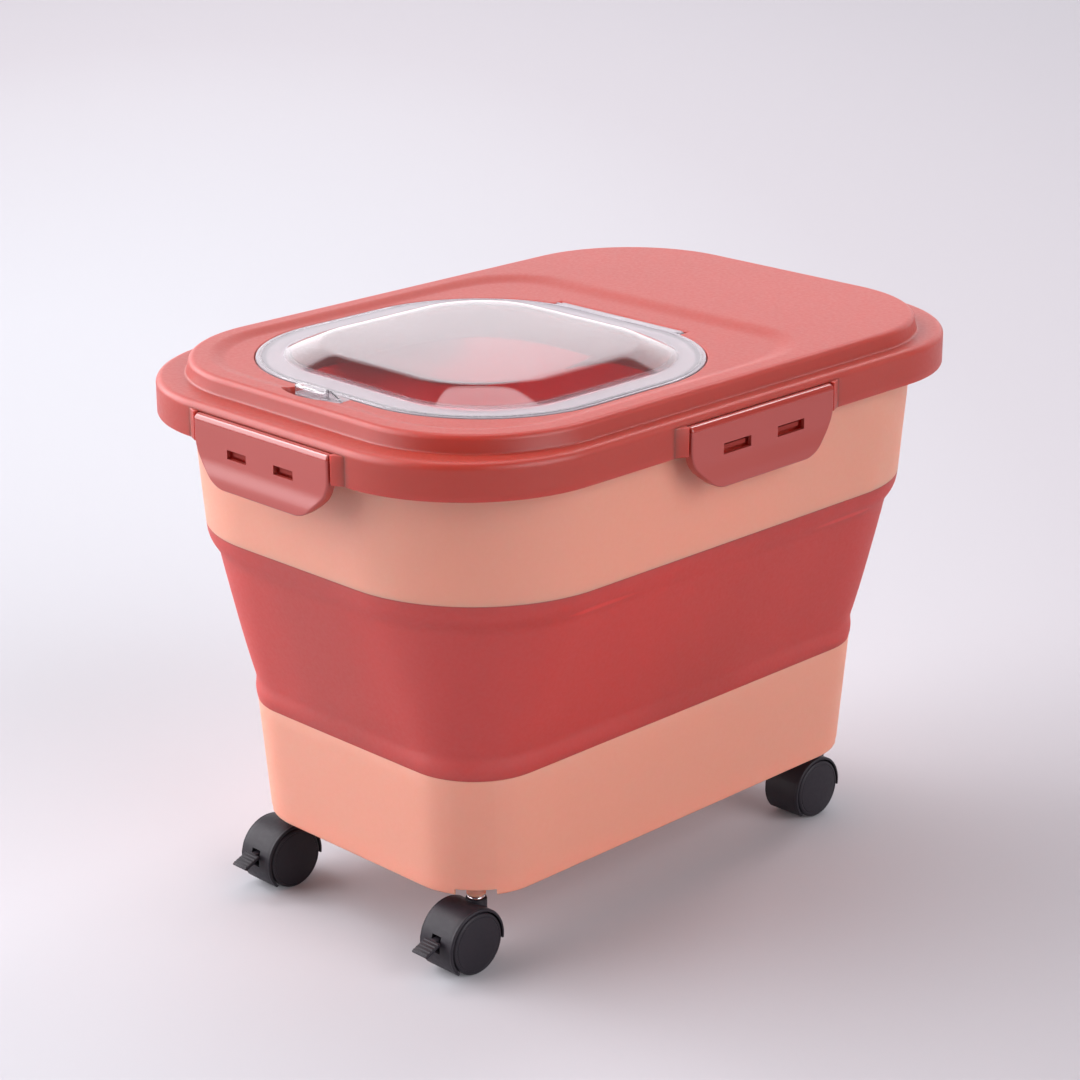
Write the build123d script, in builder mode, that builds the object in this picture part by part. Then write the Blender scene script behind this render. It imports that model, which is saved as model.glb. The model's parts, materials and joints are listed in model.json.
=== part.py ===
"""Collapsible pet food container on casters.

Millimetres, +Z up, origin on the floor under the middle of the container.
The long way of the container is Y, and the clear door opens at the -Y end.
"""
from build123d import *
import os

os.makedirs("parts", exist_ok=True)

# Overall sizes of the lid
lid_width = 308.6
lid_length = 450.0
lid_corner = 90.0
skirt_wall = 2.4
skirt_depth = 21.0
flange_thick = 2.4
flange_round = 4.0
plateau_rise = 9.6
plateau_inset_x = 10.7
plateau_inset_y = 17.1
plateau_corner = 83.0
plateau_draft = 1.4
plateau_round = 3.5
lid_wall = 2.4

# Heights of the body above the floor
tub_base_z = 46.0
tub_height = 73.0
band_height = 112.5
frame_height = 80.0
rim_to_flange = 7.0

# Plan of the lower tub at its foot and at its seam with the fold band
tub_foot_width = 203.0
tub_foot_length = 341.0
tub_foot_corner = 43.0
tub_top_width = 212.0
tub_top_length = 350.0
tub_top_corner = 44.0
tub_wall = 2.4
tub_floor = 2.6
tub_floor_rise = 5.0
tub_notch_width = 24.0
tub_notch_depth = 4.0

# Upper frame: its wall stands in from the lid's edge and tapers down to the fold band
frame_inset_x = 8.8
frame_inset_y = 13.8
frame_flare = 6.0
frame_foot_corner = 90.0
frame_wall = 2.2
rim_thick = 2.5
rim_lip_depth = 10.0
rim_lip_wall = 2.0
rim_gap = 0.7

# Fold band: heights of its bead and groove at each end, and their offsets from a straight wall
band_wall = 2.2
band_foot_bead = 9.0
band_foot_groove = 14.0
band_head_groove = 17.0
band_head_bead = 12.0
band_head_crown = 6.0
band_crown_out = 0.6
band_bead_in = 1.0
band_groove_in = 2.9

# Lid plug and gasket
plug_gap = 1.0
plug_wall = 2.0
plug_depth = 13.0
gasket_gap = 0.2
gasket_width = 4.0
rib_wall = 1.6
rib_depth = 5.0
rib_pitch = 32.0
rib_count = 3

# Shallow pan in the lid round the door
pan_depth = 2.2
pan_rim = 10.5
pan_back_margin = 37.5
pan_corner_front = 72.0
pan_corner_back = 46.0

# Clear door
door_width = 237.2
door_length = 225.2
door_corner = 84.0
door_y = -65.0
door_thick = 1.8
door_gap = 0.7
door_proud = 0.2
seal_thick = 1.3
seal_width = 3.0
seal_inset = 3.0
seal_gap = 0.1
dome_width = 204.0
dome_length = 190.0
dome_corner = 62.0
dome_top_width = 154.0
dome_top_length = 150.0
dome_top_corner = 42.0
dome_rise = 8.6
dome_crown = 1.6
dome_crown_inset = 24.0
opening_inset = 3.0
collar_wall = 2.2
collar_depth = 18.0

# Door hinge
hinge_half_length = 52.0
hinge_barrel_r = 3.0
hinge_pin_r = 1.25
hinge_gap = 1.2
hinge_end_gap = 0.6
hinge_ear = 6.0
hinge_overhang = 4.9
running_clearance = 0.05

# Pull tab at the front of the door and the finger recess under it
tab_width = 32.0
tab_length = 14.0
tab_rise = 5.0
tab_wall = 1.8
recess_width = 50.0
recess_length = 22.0
recess_depth = 5.0
recess_ahead = 9.4

# Clips
clip_barrel_r = 3.4
clip_axis_out = 0.9
clip_axis_drop = 7.7
clip_wall = 2.2
clip_height = 38.7
clip_flare = 2.2
clip_flare_start = 19.0
clip_flare_run = 9.0
clip_taper_run = 19.0
clip_taper_rise = 17.0
clip_corner_r = 8.0
clip_end_wall = 1.8
clip_end_depth = 3.4
clip_end_gap = 1.2
clip_pin_r = 1.25
clip_pin_length = 4.0
clip_slot_drop = 14.2
clip_boss_length = 10.0
clip_boss_wall = 1.3
notch_head_gap = 0.6
lug_gap = 0.3
lug_height = 2.6
lug_side_gap = 1.5
lug_chamfer = 0.8
lug_pad_drop = 8.5
lug_pad_margin = 8.0
side_clip_length = 119.0
side_slot_length = 22.6
side_slot_height = 6.2
side_slot_pitch = 45.0
end_clip_length = 111.0
end_slot_length = 16.0
end_slot_height = 5.2
end_slot_pitch = 39.0

# Casters
caster_x = 79.3
caster_y = 148.7
wheel_r = 18.5
wheel_width = 7.2
wheel_dome = 0.9
wheel_dome_slope = 45.0
wheel_tread_round = 1.2
caster_trail = 11.4
web_half = 6.0
web_gap = 0.4
fender_gap = 1.0
fender_wall = 2.2
fender_half = 13.2
fender_foot_z = 3.6
fender_tail_z = 15.5
neck_r = 6.2
neck_top_z = 39.8
axle_r = 2.0
stem_r = 3.0
stem_foot_z = 24.0
stem_socket_depth = 20.0
boss_r = 5.6
boss_inner_r = 7.5
boss_drop = 4.0
ring_r = 4.6
ring_gap = 0.3
lever_half = 4.2
lever_pad_half = 5.6
lever_pad_length = 10.0
lever_pad_gap = 1.4
lever_wall = 2.2
lever_side_gap = 0.4
lever_pivot_r = 1.4
lever_pivot_back = 9.5
lever_pivot_rise = 5.0
lever_drop = 4.5
lever_window_rise = 4.4
lever_window_drop = 7.0

# Heights worked out from the sizes above
tub_top_z = tub_base_z + tub_height
band_top_z = tub_top_z + band_height
rim_z = band_top_z + frame_height
flange_z = rim_z + rim_to_flange
skirt_z = flange_z - skirt_depth
flange_under_z = flange_z - flange_thick
plateau_z = flange_z + plateau_rise
pan_z = plateau_z - pan_depth
door_top_z = pan_z + door_proud
door_under_z = door_top_z - door_thick
seat_z = door_under_z - seal_thick - seal_gap
tub_floor_z = tub_base_z + tub_floor_rise
boss_foot_z = tub_base_z - boss_drop
door_front_y = door_y - door_length / 2
hinge_back_y = door_y + door_length / 2 + hinge_overhang
hinge_z = door_top_z - hinge_barrel_r
hinge_y = hinge_back_y - hinge_barrel_r
pan_back_y = hinge_back_y + pan_back_margin
recess_y = door_front_y - recess_ahead
clip_axis_z = flange_z - clip_axis_drop


def outline(width, length, corner, height, grow=0.0, y=0.0):
    """Rounded rectangle on a level plane, grown outward all round by grow."""
    with BuildSketch(Plane.XY.offset(height)) as plan:
        with Locations((0, y)):
            RectangleRounded(width + 2 * grow, length + 2 * grow, corner + grow)
    return plan.sketch


def block(width, length, corner, low, high, grow=0.0, y=0.0, mode=Mode.ADD):
    """Upright rounded block between two heights."""
    extrude(outline(width, length, corner, low, grow, y), amount=high - low, mode=mode)


def ring(width, length, corner, low, high, wall, grow=0.0, y=0.0):
    """Upright rounded ring: the outer outline is grown by grow, the wall goes inward."""
    with BuildSketch(Plane.XY.offset(low)) as plan:
        with Locations((0, y)):
            RectangleRounded(width + 2 * grow, length + 2 * grow, corner + grow)
            inner = grow - wall
            RectangleRounded(
                width + 2 * inner, length + 2 * inner, corner + inner, mode=Mode.SUBTRACT
            )
    extrude(plan.sketch, amount=high - low)


def tapered(levels, grow=0.0, y=0.0, mode=Mode.ADD):
    """Ruled loft through rounded rectangles (width, length, corner, height)."""
    loft([outline(*level, grow=grow, y=y) for level in levels], ruled=True, mode=mode)


def level_between(low, high, share, height, grow=0.0):
    """Rounded rectangle a share of the way from one level to another."""
    width, length, corner = (
        a + (b - a) * share + 2 * grow * factor
        for a, b, factor in zip(low[:3], high[:3], (1, 1, 0.5))
    )
    return (width, length, corner, height)


def finish(builder, name):
    """Label the piece and write its file."""
    builder.part.label = name
    export_step(builder.part, f"parts/{name}.step")


tub_foot = (tub_foot_width, tub_foot_length, tub_foot_corner, tub_base_z)
tub_top = (tub_top_width, tub_top_length, tub_top_corner, tub_top_z)
frame_head = (
    lid_width - 2 * frame_inset_x,
    lid_length - 2 * frame_inset_y,
    frame_foot_corner + frame_flare,
    rim_z,
)
frame_foot = (
    frame_head[0] - 2 * frame_flare,
    frame_head[1] - 2 * frame_flare,
    frame_foot_corner,
    band_top_z,
)
caster_spots = {
    "front_left": (-caster_x, -caster_y),
    "front_right": (caster_x, -caster_y),
    "back_left": (-caster_x, caster_y),
    "back_right": (caster_x, caster_y),
}

# Lower tub: tapered shell, raised floor, caster bosses and corner notches
with BuildPart() as lower_tub:
    tapered([tub_foot, tub_top])
    floor_share = (tub_floor_z + tub_floor - tub_base_z) / tub_height
    inside_foot = level_between(tub_foot, tub_top, floor_share, tub_floor_z + tub_floor)
    tapered([inside_foot, tub_top], grow=-tub_wall, mode=Mode.SUBTRACT)
    block(
        tub_foot_width, tub_foot_length, tub_foot_corner, tub_base_z, tub_floor_z,
        grow=-tub_wall, mode=Mode.SUBTRACT,
    )
    for spot in caster_spots.values():
        with BuildSketch(Plane.XY.offset(tub_floor_z)):
            with Locations(spot):
                Circle(boss_inner_r)
        extrude(amount=stem_socket_depth + tub_floor + boss_foot_z - tub_floor_z)
        with BuildSketch(Plane.XY.offset(boss_foot_z)):
            with Locations(spot):
                Circle(boss_r)
        extrude(amount=tub_floor_z - boss_foot_z)
        with BuildSketch(Plane.XY.offset(boss_foot_z)):
            with Locations(spot):
                Circle(stem_r + running_clearance)
        extrude(amount=stem_socket_depth, mode=Mode.SUBTRACT)
        side_x = 1 if spot[0] > 0 else -1
        side_y = 1 if spot[1] > 0 else -1
        corner_way = Plane(
            origin=(spot[0], spot[1], tub_base_z),
            x_dir=(side_x, side_y, 0),
            z_dir=(0, 0, 1),
        )
        with BuildSketch(corner_way):
            with Locations((tub_foot_corner / 2, 0)):
                Rectangle(tub_foot_corner, tub_notch_width)
        extrude(amount=tub_notch_depth, mode=Mode.SUBTRACT)
finish(lower_tub, "lower_tub")

# Fold band: soft tapered wall between tub and frame, with a hem and a fold line at each end
band_profile = (
    (band_foot_bead, -band_bead_in),
    (band_foot_groove, -band_groove_in),
    (band_height - band_head_groove, -band_groove_in),
    (band_height - band_head_bead, -band_bead_in),
    (band_height - band_head_crown, band_crown_out),
)
band_levels = [
    tub_top,
    *(
        level_between(tub_top, frame_foot, rise / band_height, tub_top_z + rise, grow=bulge)
        for rise, bulge in band_profile
    ),
    frame_foot,
]
with BuildPart() as fold_band:
    tapered(band_levels)
    tapered(band_levels, grow=-band_wall, mode=Mode.SUBTRACT)
finish(fold_band, "fold_band")


clip_sides = {"right": (1, 0), "left": (-1, 0), "front": (0, -1), "back": (0, 1)}


def clip_section(side):
    """Section plane of a clip: local x points out of the lid, local y up, the normal along."""
    out_x, out_y = clip_sides[side]
    return Plane(origin=(0, 0, 0), x_dir=(out_x, out_y, 0), z_dir=(out_y, -out_x, 0))


def clip_face(side):
    """Upright plane that faces a clip: local x runs along it, local y up."""
    out_x, out_y = clip_sides[side]
    return Plane(origin=(0, 0, 0), x_dir=(out_y, -out_x, 0), z_dir=(-out_x, -out_y, 0))


def skirt_reach(side):
    """Distance from the middle of the lid to its skirt on one side."""
    return lid_width / 2 if side in ("right", "left") else lid_length / 2


def clip_length(side):
    """Length of the clip on one side."""
    return side_clip_length if side in ("right", "left") else end_clip_length


def slot_sizes(side):
    """Length, height and pitch of the two slots of a clip."""
    if side in ("right", "left"):
        return side_slot_length, side_slot_height, side_slot_pitch
    return end_slot_length, end_slot_height, end_slot_pitch


# Upper frame: flared hoop, open above and below
rim_foot_z = rim_z - rim_thick
frame_neck = level_between(
    frame_foot, frame_head, (frame_height - rim_thick) / frame_height, rim_foot_z
)
with BuildPart() as upper_frame:
    tapered([frame_foot, frame_neck])
    tapered([frame_foot, frame_neck], grow=-frame_wall, mode=Mode.SUBTRACT)
finish(upper_frame, "upper_frame")

# Rim of the frame: flat ring with a turned-down lip and a pad behind each clip
rim_grow = -skirt_wall - rim_gap
with BuildPart() as frame_rim:
    with BuildSketch(Plane.XY.offset(rim_foot_z)):
        RectangleRounded(
            lid_width + 2 * rim_grow, lid_length + 2 * rim_grow, lid_corner + rim_grow
        )
        RectangleRounded(
            frame_head[0] - 2 * frame_wall,
            frame_head[1] - 2 * frame_wall,
            frame_head[2] - frame_wall,
            mode=Mode.SUBTRACT,
        )
    extrude(amount=rim_thick)
    ring(
        lid_width, lid_length, lid_corner, rim_foot_z - rim_lip_depth, rim_z,
        rim_lip_wall, grow=rim_grow,
    )
    for side in clip_sides:
        section = clip_section(side)
        slot_length, _, slot_pitch = slot_sizes(side)
        lip_face = skirt_reach(side) + rim_grow
        with BuildSketch(section):
            with Locations((lip_face, rim_foot_z - rim_lip_depth + rim_lip_wall)):
                Rectangle(
                    rim_lip_wall, lug_pad_drop + rim_lip_wall, align=(Align.MAX, Align.MAX)
                )
        extrude(amount=slot_pitch / 2 + slot_length / 2 + lug_pad_margin, both=True)
finish(frame_rim, "frame_rim")

# Lugs that the clips catch: two on each pad of the rim
for side in clip_sides:
    slot_length, _, slot_pitch = slot_sizes(side)
    lip_face = skirt_reach(side) + rim_grow
    plate_inner = skirt_reach(side) + clip_axis_out + clip_barrel_r - clip_wall
    for number, end in ((1, -1), (2, 1)):
        with BuildPart() as rim_lug:
            with BuildSketch(clip_section(side).offset(end * slot_pitch / 2)):
                with Locations((lip_face, clip_axis_z - clip_slot_drop)):
                    Rectangle(
                        plate_inner - lug_gap - lip_face, lug_height,
                        align=(Align.MIN, Align.CENTER),
                    )
            extrude(amount=slot_length / 2 - lug_side_gap, both=True)
            chamfer(rim_lug.edges().filter_by(Axis.Z), lug_chamfer)
        finish(rim_lug, f"rim_lug_{side}_{number}")

# Lid: skirt and flange, raised plateau, pan, door seat, hinge housing and clip bosses
plateau_width = lid_width - 2 * plateau_inset_x
plateau_length = lid_length - 2 * plateau_inset_y
plateau_top_width = plateau_width - 2 * plateau_draft
plateau_top_length = plateau_length - 2 * plateau_draft
pan_half_width = plateau_top_width / 2 - pan_rim
pan_front_y = -plateau_top_length / 2 + pan_rim
opening_width = dome_width - 2 * opening_inset
opening_length = dome_length - 2 * opening_inset
opening_corner = dome_corner - opening_inset
plug_width = frame_head[0] - 2 * frame_wall - 2 * plug_gap
plug_length = frame_head[1] - 2 * frame_wall - 2 * plug_gap
plug_corner = frame_head[2] - frame_wall - plug_gap


def pan_sketch(height, grow=0.0):
    """Plan of the pan: wide round corners at the front, tighter ones at the back."""
    with BuildSketch(Plane.XY.offset(height)) as sketch:
        middle = (pan_front_y + pan_back_y) / 2
        with Locations((0, middle)):
            Rectangle(2 * (pan_half_width + grow), pan_back_y - pan_front_y + 2 * grow)
        by_y = sketch.vertices().group_by(Axis.Y)
        fillet(by_y[0], pan_corner_front + grow)
        by_y = sketch.vertices().group_by(Axis.Y)
        fillet(by_y[-1], pan_corner_back + grow)
    return sketch.sketch


def door_sketch(height, grow=0.0):
    """Plan of the door flange."""
    return outline(door_width, door_length, door_corner, height, grow, door_y)


def hinge_box(half_length, front_y, back_y, low, high, mode):
    """Box along the door hinge."""
    with BuildSketch(Plane.XY.offset(low)) as plan:
        with Locations((0, (front_y + back_y) / 2)):
            Rectangle(2 * half_length, back_y - front_y)
    extrude(plan.sketch, amount=high - low, mode=mode)


def recess_sketch(height, grow=0.0):
    """Plan of the finger recess."""
    with BuildSketch(Plane.XY.offset(height)) as plan:
        with Locations((0, recess_y)):
            Ellipse(recess_width / 2 + grow, recess_length / 2 + grow)
    return plan.sketch


seat_floor_z = seat_z - lid_wall
trough_front_y = hinge_y - hinge_barrel_r - hinge_gap
trough_back_y = hinge_back_y + hinge_gap
trough_z = hinge_z - hinge_barrel_r - hinge_gap
trough_half = hinge_half_length + hinge_end_gap

with BuildPart() as lid_panel:
    block(lid_width, lid_length, lid_corner, skirt_z, flange_z)
    fillet(lid_panel.faces().sort_by(Axis.Z)[-1].edges(), flange_round)
    block(
        lid_width, lid_length, lid_corner, skirt_z, flange_under_z,
        grow=-skirt_wall, mode=Mode.SUBTRACT,
    )
    tapered([
        (plateau_width, plateau_length, plateau_corner, flange_under_z),
        (plateau_top_width, plateau_top_length, plateau_corner - plateau_draft, plateau_z),
    ])
    fillet(lid_panel.faces().sort_by(Axis.Z)[-1].edges(), plateau_round)
    tapered([
        (plateau_width, plateau_length, plateau_corner, flange_under_z),
        (plateau_top_width, plateau_top_length, plateau_corner - plateau_draft, plateau_z - lid_wall),
    ], grow=-lid_wall, mode=Mode.SUBTRACT)
    extrude(pan_sketch(pan_z - lid_wall, grow=lid_wall), amount=lid_wall + pan_depth / 2)
    extrude(door_sketch(seat_floor_z, grow=door_gap + lid_wall), amount=pan_z - seat_floor_z)
    recess_foot_z = pan_z - recess_depth - lid_wall
    extrude(recess_sketch(recess_foot_z, grow=lid_wall), amount=recess_depth + lid_wall)
    hinge_box(
        trough_half + hinge_ear, trough_front_y - lid_wall, trough_back_y + lid_wall,
        trough_z - lid_wall, pan_z, Mode.ADD,
    )
    for index in range(rib_count):
        rib_y = pan_back_y + lid_wall + rib_pitch * (index + 0.5)
        with BuildSketch(Plane.XY.offset(plateau_z - lid_wall - rib_depth)):
            with Locations((0, rib_y)):
                Rectangle(plateau_top_width - 2 * plateau_corner, rib_wall)
        extrude(amount=rib_depth + lid_wall / 2)
    extrude(pan_sketch(pan_z), amount=2 * pan_depth, mode=Mode.SUBTRACT)
    extrude(door_sketch(seat_z, grow=door_gap), amount=plateau_z - seat_z, mode=Mode.SUBTRACT)
    extrude(recess_sketch(pan_z - recess_depth), amount=2 * recess_depth, mode=Mode.SUBTRACT)
    block(
        opening_width, opening_length, opening_corner, seat_z - collar_depth, plateau_z,
        y=door_y, mode=Mode.SUBTRACT,
    )
    hinge_box(trough_half, trough_front_y, trough_back_y, trough_z, plateau_z, Mode.SUBTRACT)
    with BuildSketch(Plane.YZ):
        with Locations((hinge_y, hinge_z)):
            Circle(hinge_pin_r)
    extrude(amount=trough_half + hinge_ear, both=True, mode=Mode.SUBTRACT)
    for side in clip_sides:
        section = clip_section(side)
        reach = skirt_reach(side)
        axis_out = reach + clip_axis_out
        notch_half = clip_length(side) / 2 + clip_end_gap
        boss_face = axis_out + clip_pin_r + clip_boss_wall
        boss_top_z = clip_axis_z + clip_barrel_r + notch_head_gap
        with BuildSketch(Plane.XY.offset(skirt_z)):
            for end in (-1, 1):
                with BuildLine():
                    near = section.from_local_coords((boss_face, 0, end * notch_half))
                    near_in = section.from_local_coords((reach - skirt_wall, 0, end * notch_half))
                    far = section.from_local_coords(
                        (reach - skirt_wall / 2, 0, end * (notch_half + clip_boss_length))
                    )
                    far_in = section.from_local_coords(
                        (reach - skirt_wall, 0, end * (notch_half + clip_boss_length))
                    )
                    Polyline(near, far, far_in, near_in, close=True)
                make_face()
        extrude(amount=boss_top_z - skirt_z)
        with BuildSketch(section):
            notch_low = (reach - skirt_wall - rim_gap / 2, skirt_z - skirt_wall)
            notch_size = (clip_flare + clip_barrel_r * 3, boss_top_z - skirt_z + skirt_wall)
            with Locations(notch_low):
                Rectangle(*notch_size, align=(Align.MIN, Align.MIN))
        extrude(amount=notch_half, both=True, mode=Mode.SUBTRACT)
        with BuildSketch(section):
            with Locations((axis_out, clip_axis_z)):
                Circle(clip_pin_r + running_clearance)
        extrude(
            amount=clip_length(side) / 2 + clip_pin_length + running_clearance,
            both=True,
            mode=Mode.SUBTRACT,
        )
finish(lid_panel, "lid_panel")

# Plug of the lid: upright ring that goes down inside the frame
with BuildPart() as lid_plug:
    ring(
        plug_width, plug_length, plug_corner, flange_under_z - plug_depth, flange_under_z,
        plug_wall,
    )
finish(lid_plug, "lid_plug")

# Collar of the lid: upright ring under the door seat, round the opening
with BuildPart() as lid_collar:
    ring(
        opening_width, opening_length, opening_corner, seat_z - collar_depth, seat_floor_z,
        collar_wall, grow=collar_wall, y=door_y,
    )
finish(lid_collar, "lid_collar")

# Lid gasket: square ring under the flange, over the rim of the frame
with BuildPart() as lid_gasket:
    ring(
        plug_width, plug_length, plug_corner, rim_z + gasket_gap, flange_under_z, gasket_width,
        grow=gasket_width,
    )
finish(lid_gasket, "lid_gasket")

# Door: clear flange with a low dome, a hinge barrel at the back and a pull tab at the front
dome_base = (dome_width, dome_length, dome_corner)
dome_top = (dome_top_width, dome_top_length, dome_top_corner)
dome_levels = [
    (*dome_base, door_top_z),
    (*dome_top, door_top_z + dome_rise),
    (
        dome_top_width - 2 * dome_crown_inset,
        dome_top_length - 2 * dome_crown_inset,
        dome_top_corner - dome_crown_inset / 2,
        door_top_z + dome_rise + dome_crown,
    ),
]


with BuildPart() as door_panel:
    extrude(door_sketch(door_under_z), amount=door_thick)
    tapered(dome_levels, y=door_y)
    hinge_box(
        hinge_half_length, hinge_y - 2 * hinge_barrel_r - hinge_gap, hinge_y,
        door_under_z, door_top_z, Mode.ADD,
    )
    with BuildSketch(Plane.YZ):
        with Locations((hinge_y, hinge_z)):
            Circle(hinge_barrel_r)
    extrude(amount=hinge_half_length, both=True)
    tab_front_y = door_front_y - tab_length + door_gap
    with BuildSketch(Plane.YZ):
        with BuildLine():
            tab_back_y = door_front_y + tab_length / 2
            Polyline(
                (tab_back_y, door_under_z),
                (tab_back_y, door_top_z),
                (tab_back_y - tab_length / 2, door_top_z + tab_rise),
                (tab_front_y, door_top_z + tab_rise),
                (tab_front_y, door_top_z),
                (tab_front_y + tab_wall, door_top_z),
                (tab_front_y + tab_wall, door_top_z + tab_rise - tab_wall),
                (tab_back_y - tab_length / 2, door_top_z + tab_rise - tab_wall),
                (tab_back_y - tab_length / 2, door_under_z),
                close=True,
            )
        make_face()
    extrude(amount=tab_width / 2, both=True)
    inner_levels = [(width, length, corner, z - door_thick) for width, length, corner, z in dome_levels]
    tapered(inner_levels, grow=-door_thick, y=door_y, mode=Mode.SUBTRACT)
    with BuildSketch(Plane.YZ):
        with Locations((hinge_y, hinge_z)):
            Circle(hinge_pin_r + running_clearance)
    extrude(amount=hinge_half_length, both=True, mode=Mode.SUBTRACT)
finish(door_panel, "door_panel")

# Door seal: thin ring under the door flange, over the seat
with BuildPart() as door_seal:
    ring(
        door_width, door_length, door_corner, seat_z + seal_gap, door_under_z, seal_width,
        grow=-seal_inset, y=door_y,
    )
finish(door_seal, "door_seal")

# Hinge pin of the door, held in the ears of the lid
with BuildPart() as door_hinge_pin:
    with BuildSketch(Plane.YZ):
        with Locations((hinge_y, hinge_z)):
            Circle(hinge_pin_r)
    extrude(amount=trough_half + hinge_ear - running_clearance, both=True)
finish(door_hinge_pin, "door_hinge_pin")

# Clips: a rolled hinge barrel, a flared plate with two slots, end walls and pin stubs
for side in clip_sides:
    section = clip_section(side)
    face = clip_face(side)
    reach = skirt_reach(side)
    length = clip_length(side)
    slot_length, slot_height, slot_pitch = slot_sizes(side)
    axis_out = reach + clip_axis_out
    outer = axis_out + clip_barrel_r
    flare_z = clip_axis_z - clip_flare_start
    foot_z = clip_axis_z + clip_barrel_r - clip_height
    flare_low_z = flare_z - clip_flare_run
    with BuildPart() as clip:
        with BuildSketch(section):
            with BuildLine():
                outer_top = Line((outer, clip_axis_z), (outer, flare_z))
                outer_bend = Bezier(
                    outer_top @ 1,
                    (outer, flare_z - clip_flare_run / 2),
                    (outer + clip_flare, flare_z - clip_flare_run / 2),
                    (outer + clip_flare, flare_low_z),
                )
                outer_foot = Line(outer_bend @ 1, (outer + clip_flare, foot_z))
                foot = Line(outer_foot @ 1, (outer + clip_flare - clip_wall, foot_z))
                inner_foot = Line(foot @ 1, (outer + clip_flare - clip_wall, flare_low_z))
                inner_bend = Bezier(
                    inner_foot @ 1,
                    (outer + clip_flare - clip_wall, flare_z - clip_flare_run / 2),
                    (outer - clip_wall, flare_z - clip_flare_run / 2),
                    (outer - clip_wall, flare_z),
                )
                inner_top = Line(inner_bend @ 1, (outer - clip_wall, clip_axis_z))
                Line(inner_top @ 1, outer_top @ 0)
            make_face()
            with Locations((axis_out, clip_axis_z)):
                Circle(clip_barrel_r)
        extrude(amount=length / 2, both=True)
        for end in (-1, 1):
            with BuildSketch(section.offset(end * (length - clip_end_wall) / 2)):
                with BuildLine():
                    Polyline(
                        (outer - clip_wall / 2, clip_axis_z),
                        (outer - clip_wall / 2, flare_z),
                        (outer + clip_flare - clip_wall / 2, flare_low_z),
                        (outer + clip_flare - clip_wall / 2, foot_z),
                        (outer + clip_flare - clip_wall - clip_end_depth / 2, foot_z),
                        (outer - clip_wall - clip_end_depth, flare_z),
                        (outer - clip_wall - clip_end_depth, clip_axis_z),
                        close=True,
                    )
                make_face()
            extrude(amount=clip_end_wall / 2, both=True)
        with BuildSketch(face) as face_plan:
            with BuildLine():
                half = length / 2
                head_z = clip_axis_z + 2 * clip_barrel_r
                Polyline(
                    (-half, head_z),
                    (-half, foot_z + clip_taper_rise),
                    (-half + clip_taper_run, foot_z),
                    (half - clip_taper_run, foot_z),
                    (half, foot_z + clip_taper_rise),
                    (half, head_z),
                    close=True,
                )
            make_face()
            fillet(face_plan.vertices().sort_by(Axis.Y)[:4], clip_corner_r)
        extrude(amount=-2 * reach, mode=Mode.INTERSECT)
        with BuildSketch(face):
            with Locations((0, clip_axis_z - clip_slot_drop)):
                with GridLocations(slot_pitch, 0, 2, 1):
                    Rectangle(slot_length, slot_height)
        extrude(amount=-2 * reach, mode=Mode.SUBTRACT)
        with BuildSketch(section):
            with Locations((axis_out, clip_axis_z)):
                Circle(clip_pin_r)
        extrude(amount=length / 2 + clip_pin_length, both=True)
    finish(clip, f"clip_{side}")


def caster_plane(spot, along=0.0):
    """Upright plane through a caster's stem, seen from the side: local x is +Y, local y is +Z."""
    return Plane(origin=(spot[0] + along, spot[1], 0), x_dir=(0, 1, 0), z_dir=(1, 0, 0))


def disc(spot, radius, half, y, z, mode=Mode.ADD):
    """Cylinder along X through a caster, centred between the wheels."""
    with BuildSketch(caster_plane(spot)) as plan:
        with Locations((y, z)):
            Circle(radius)
    extrude(plan.sketch, amount=half, both=True, mode=mode)


fender_r = wheel_r + fender_gap + fender_wall
wheel_inner = web_half + web_gap
lever_y = -caster_trail - lever_pivot_back
lever_z = wheel_r + lever_pivot_rise
axle_half = wheel_inner + wheel_width

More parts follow.
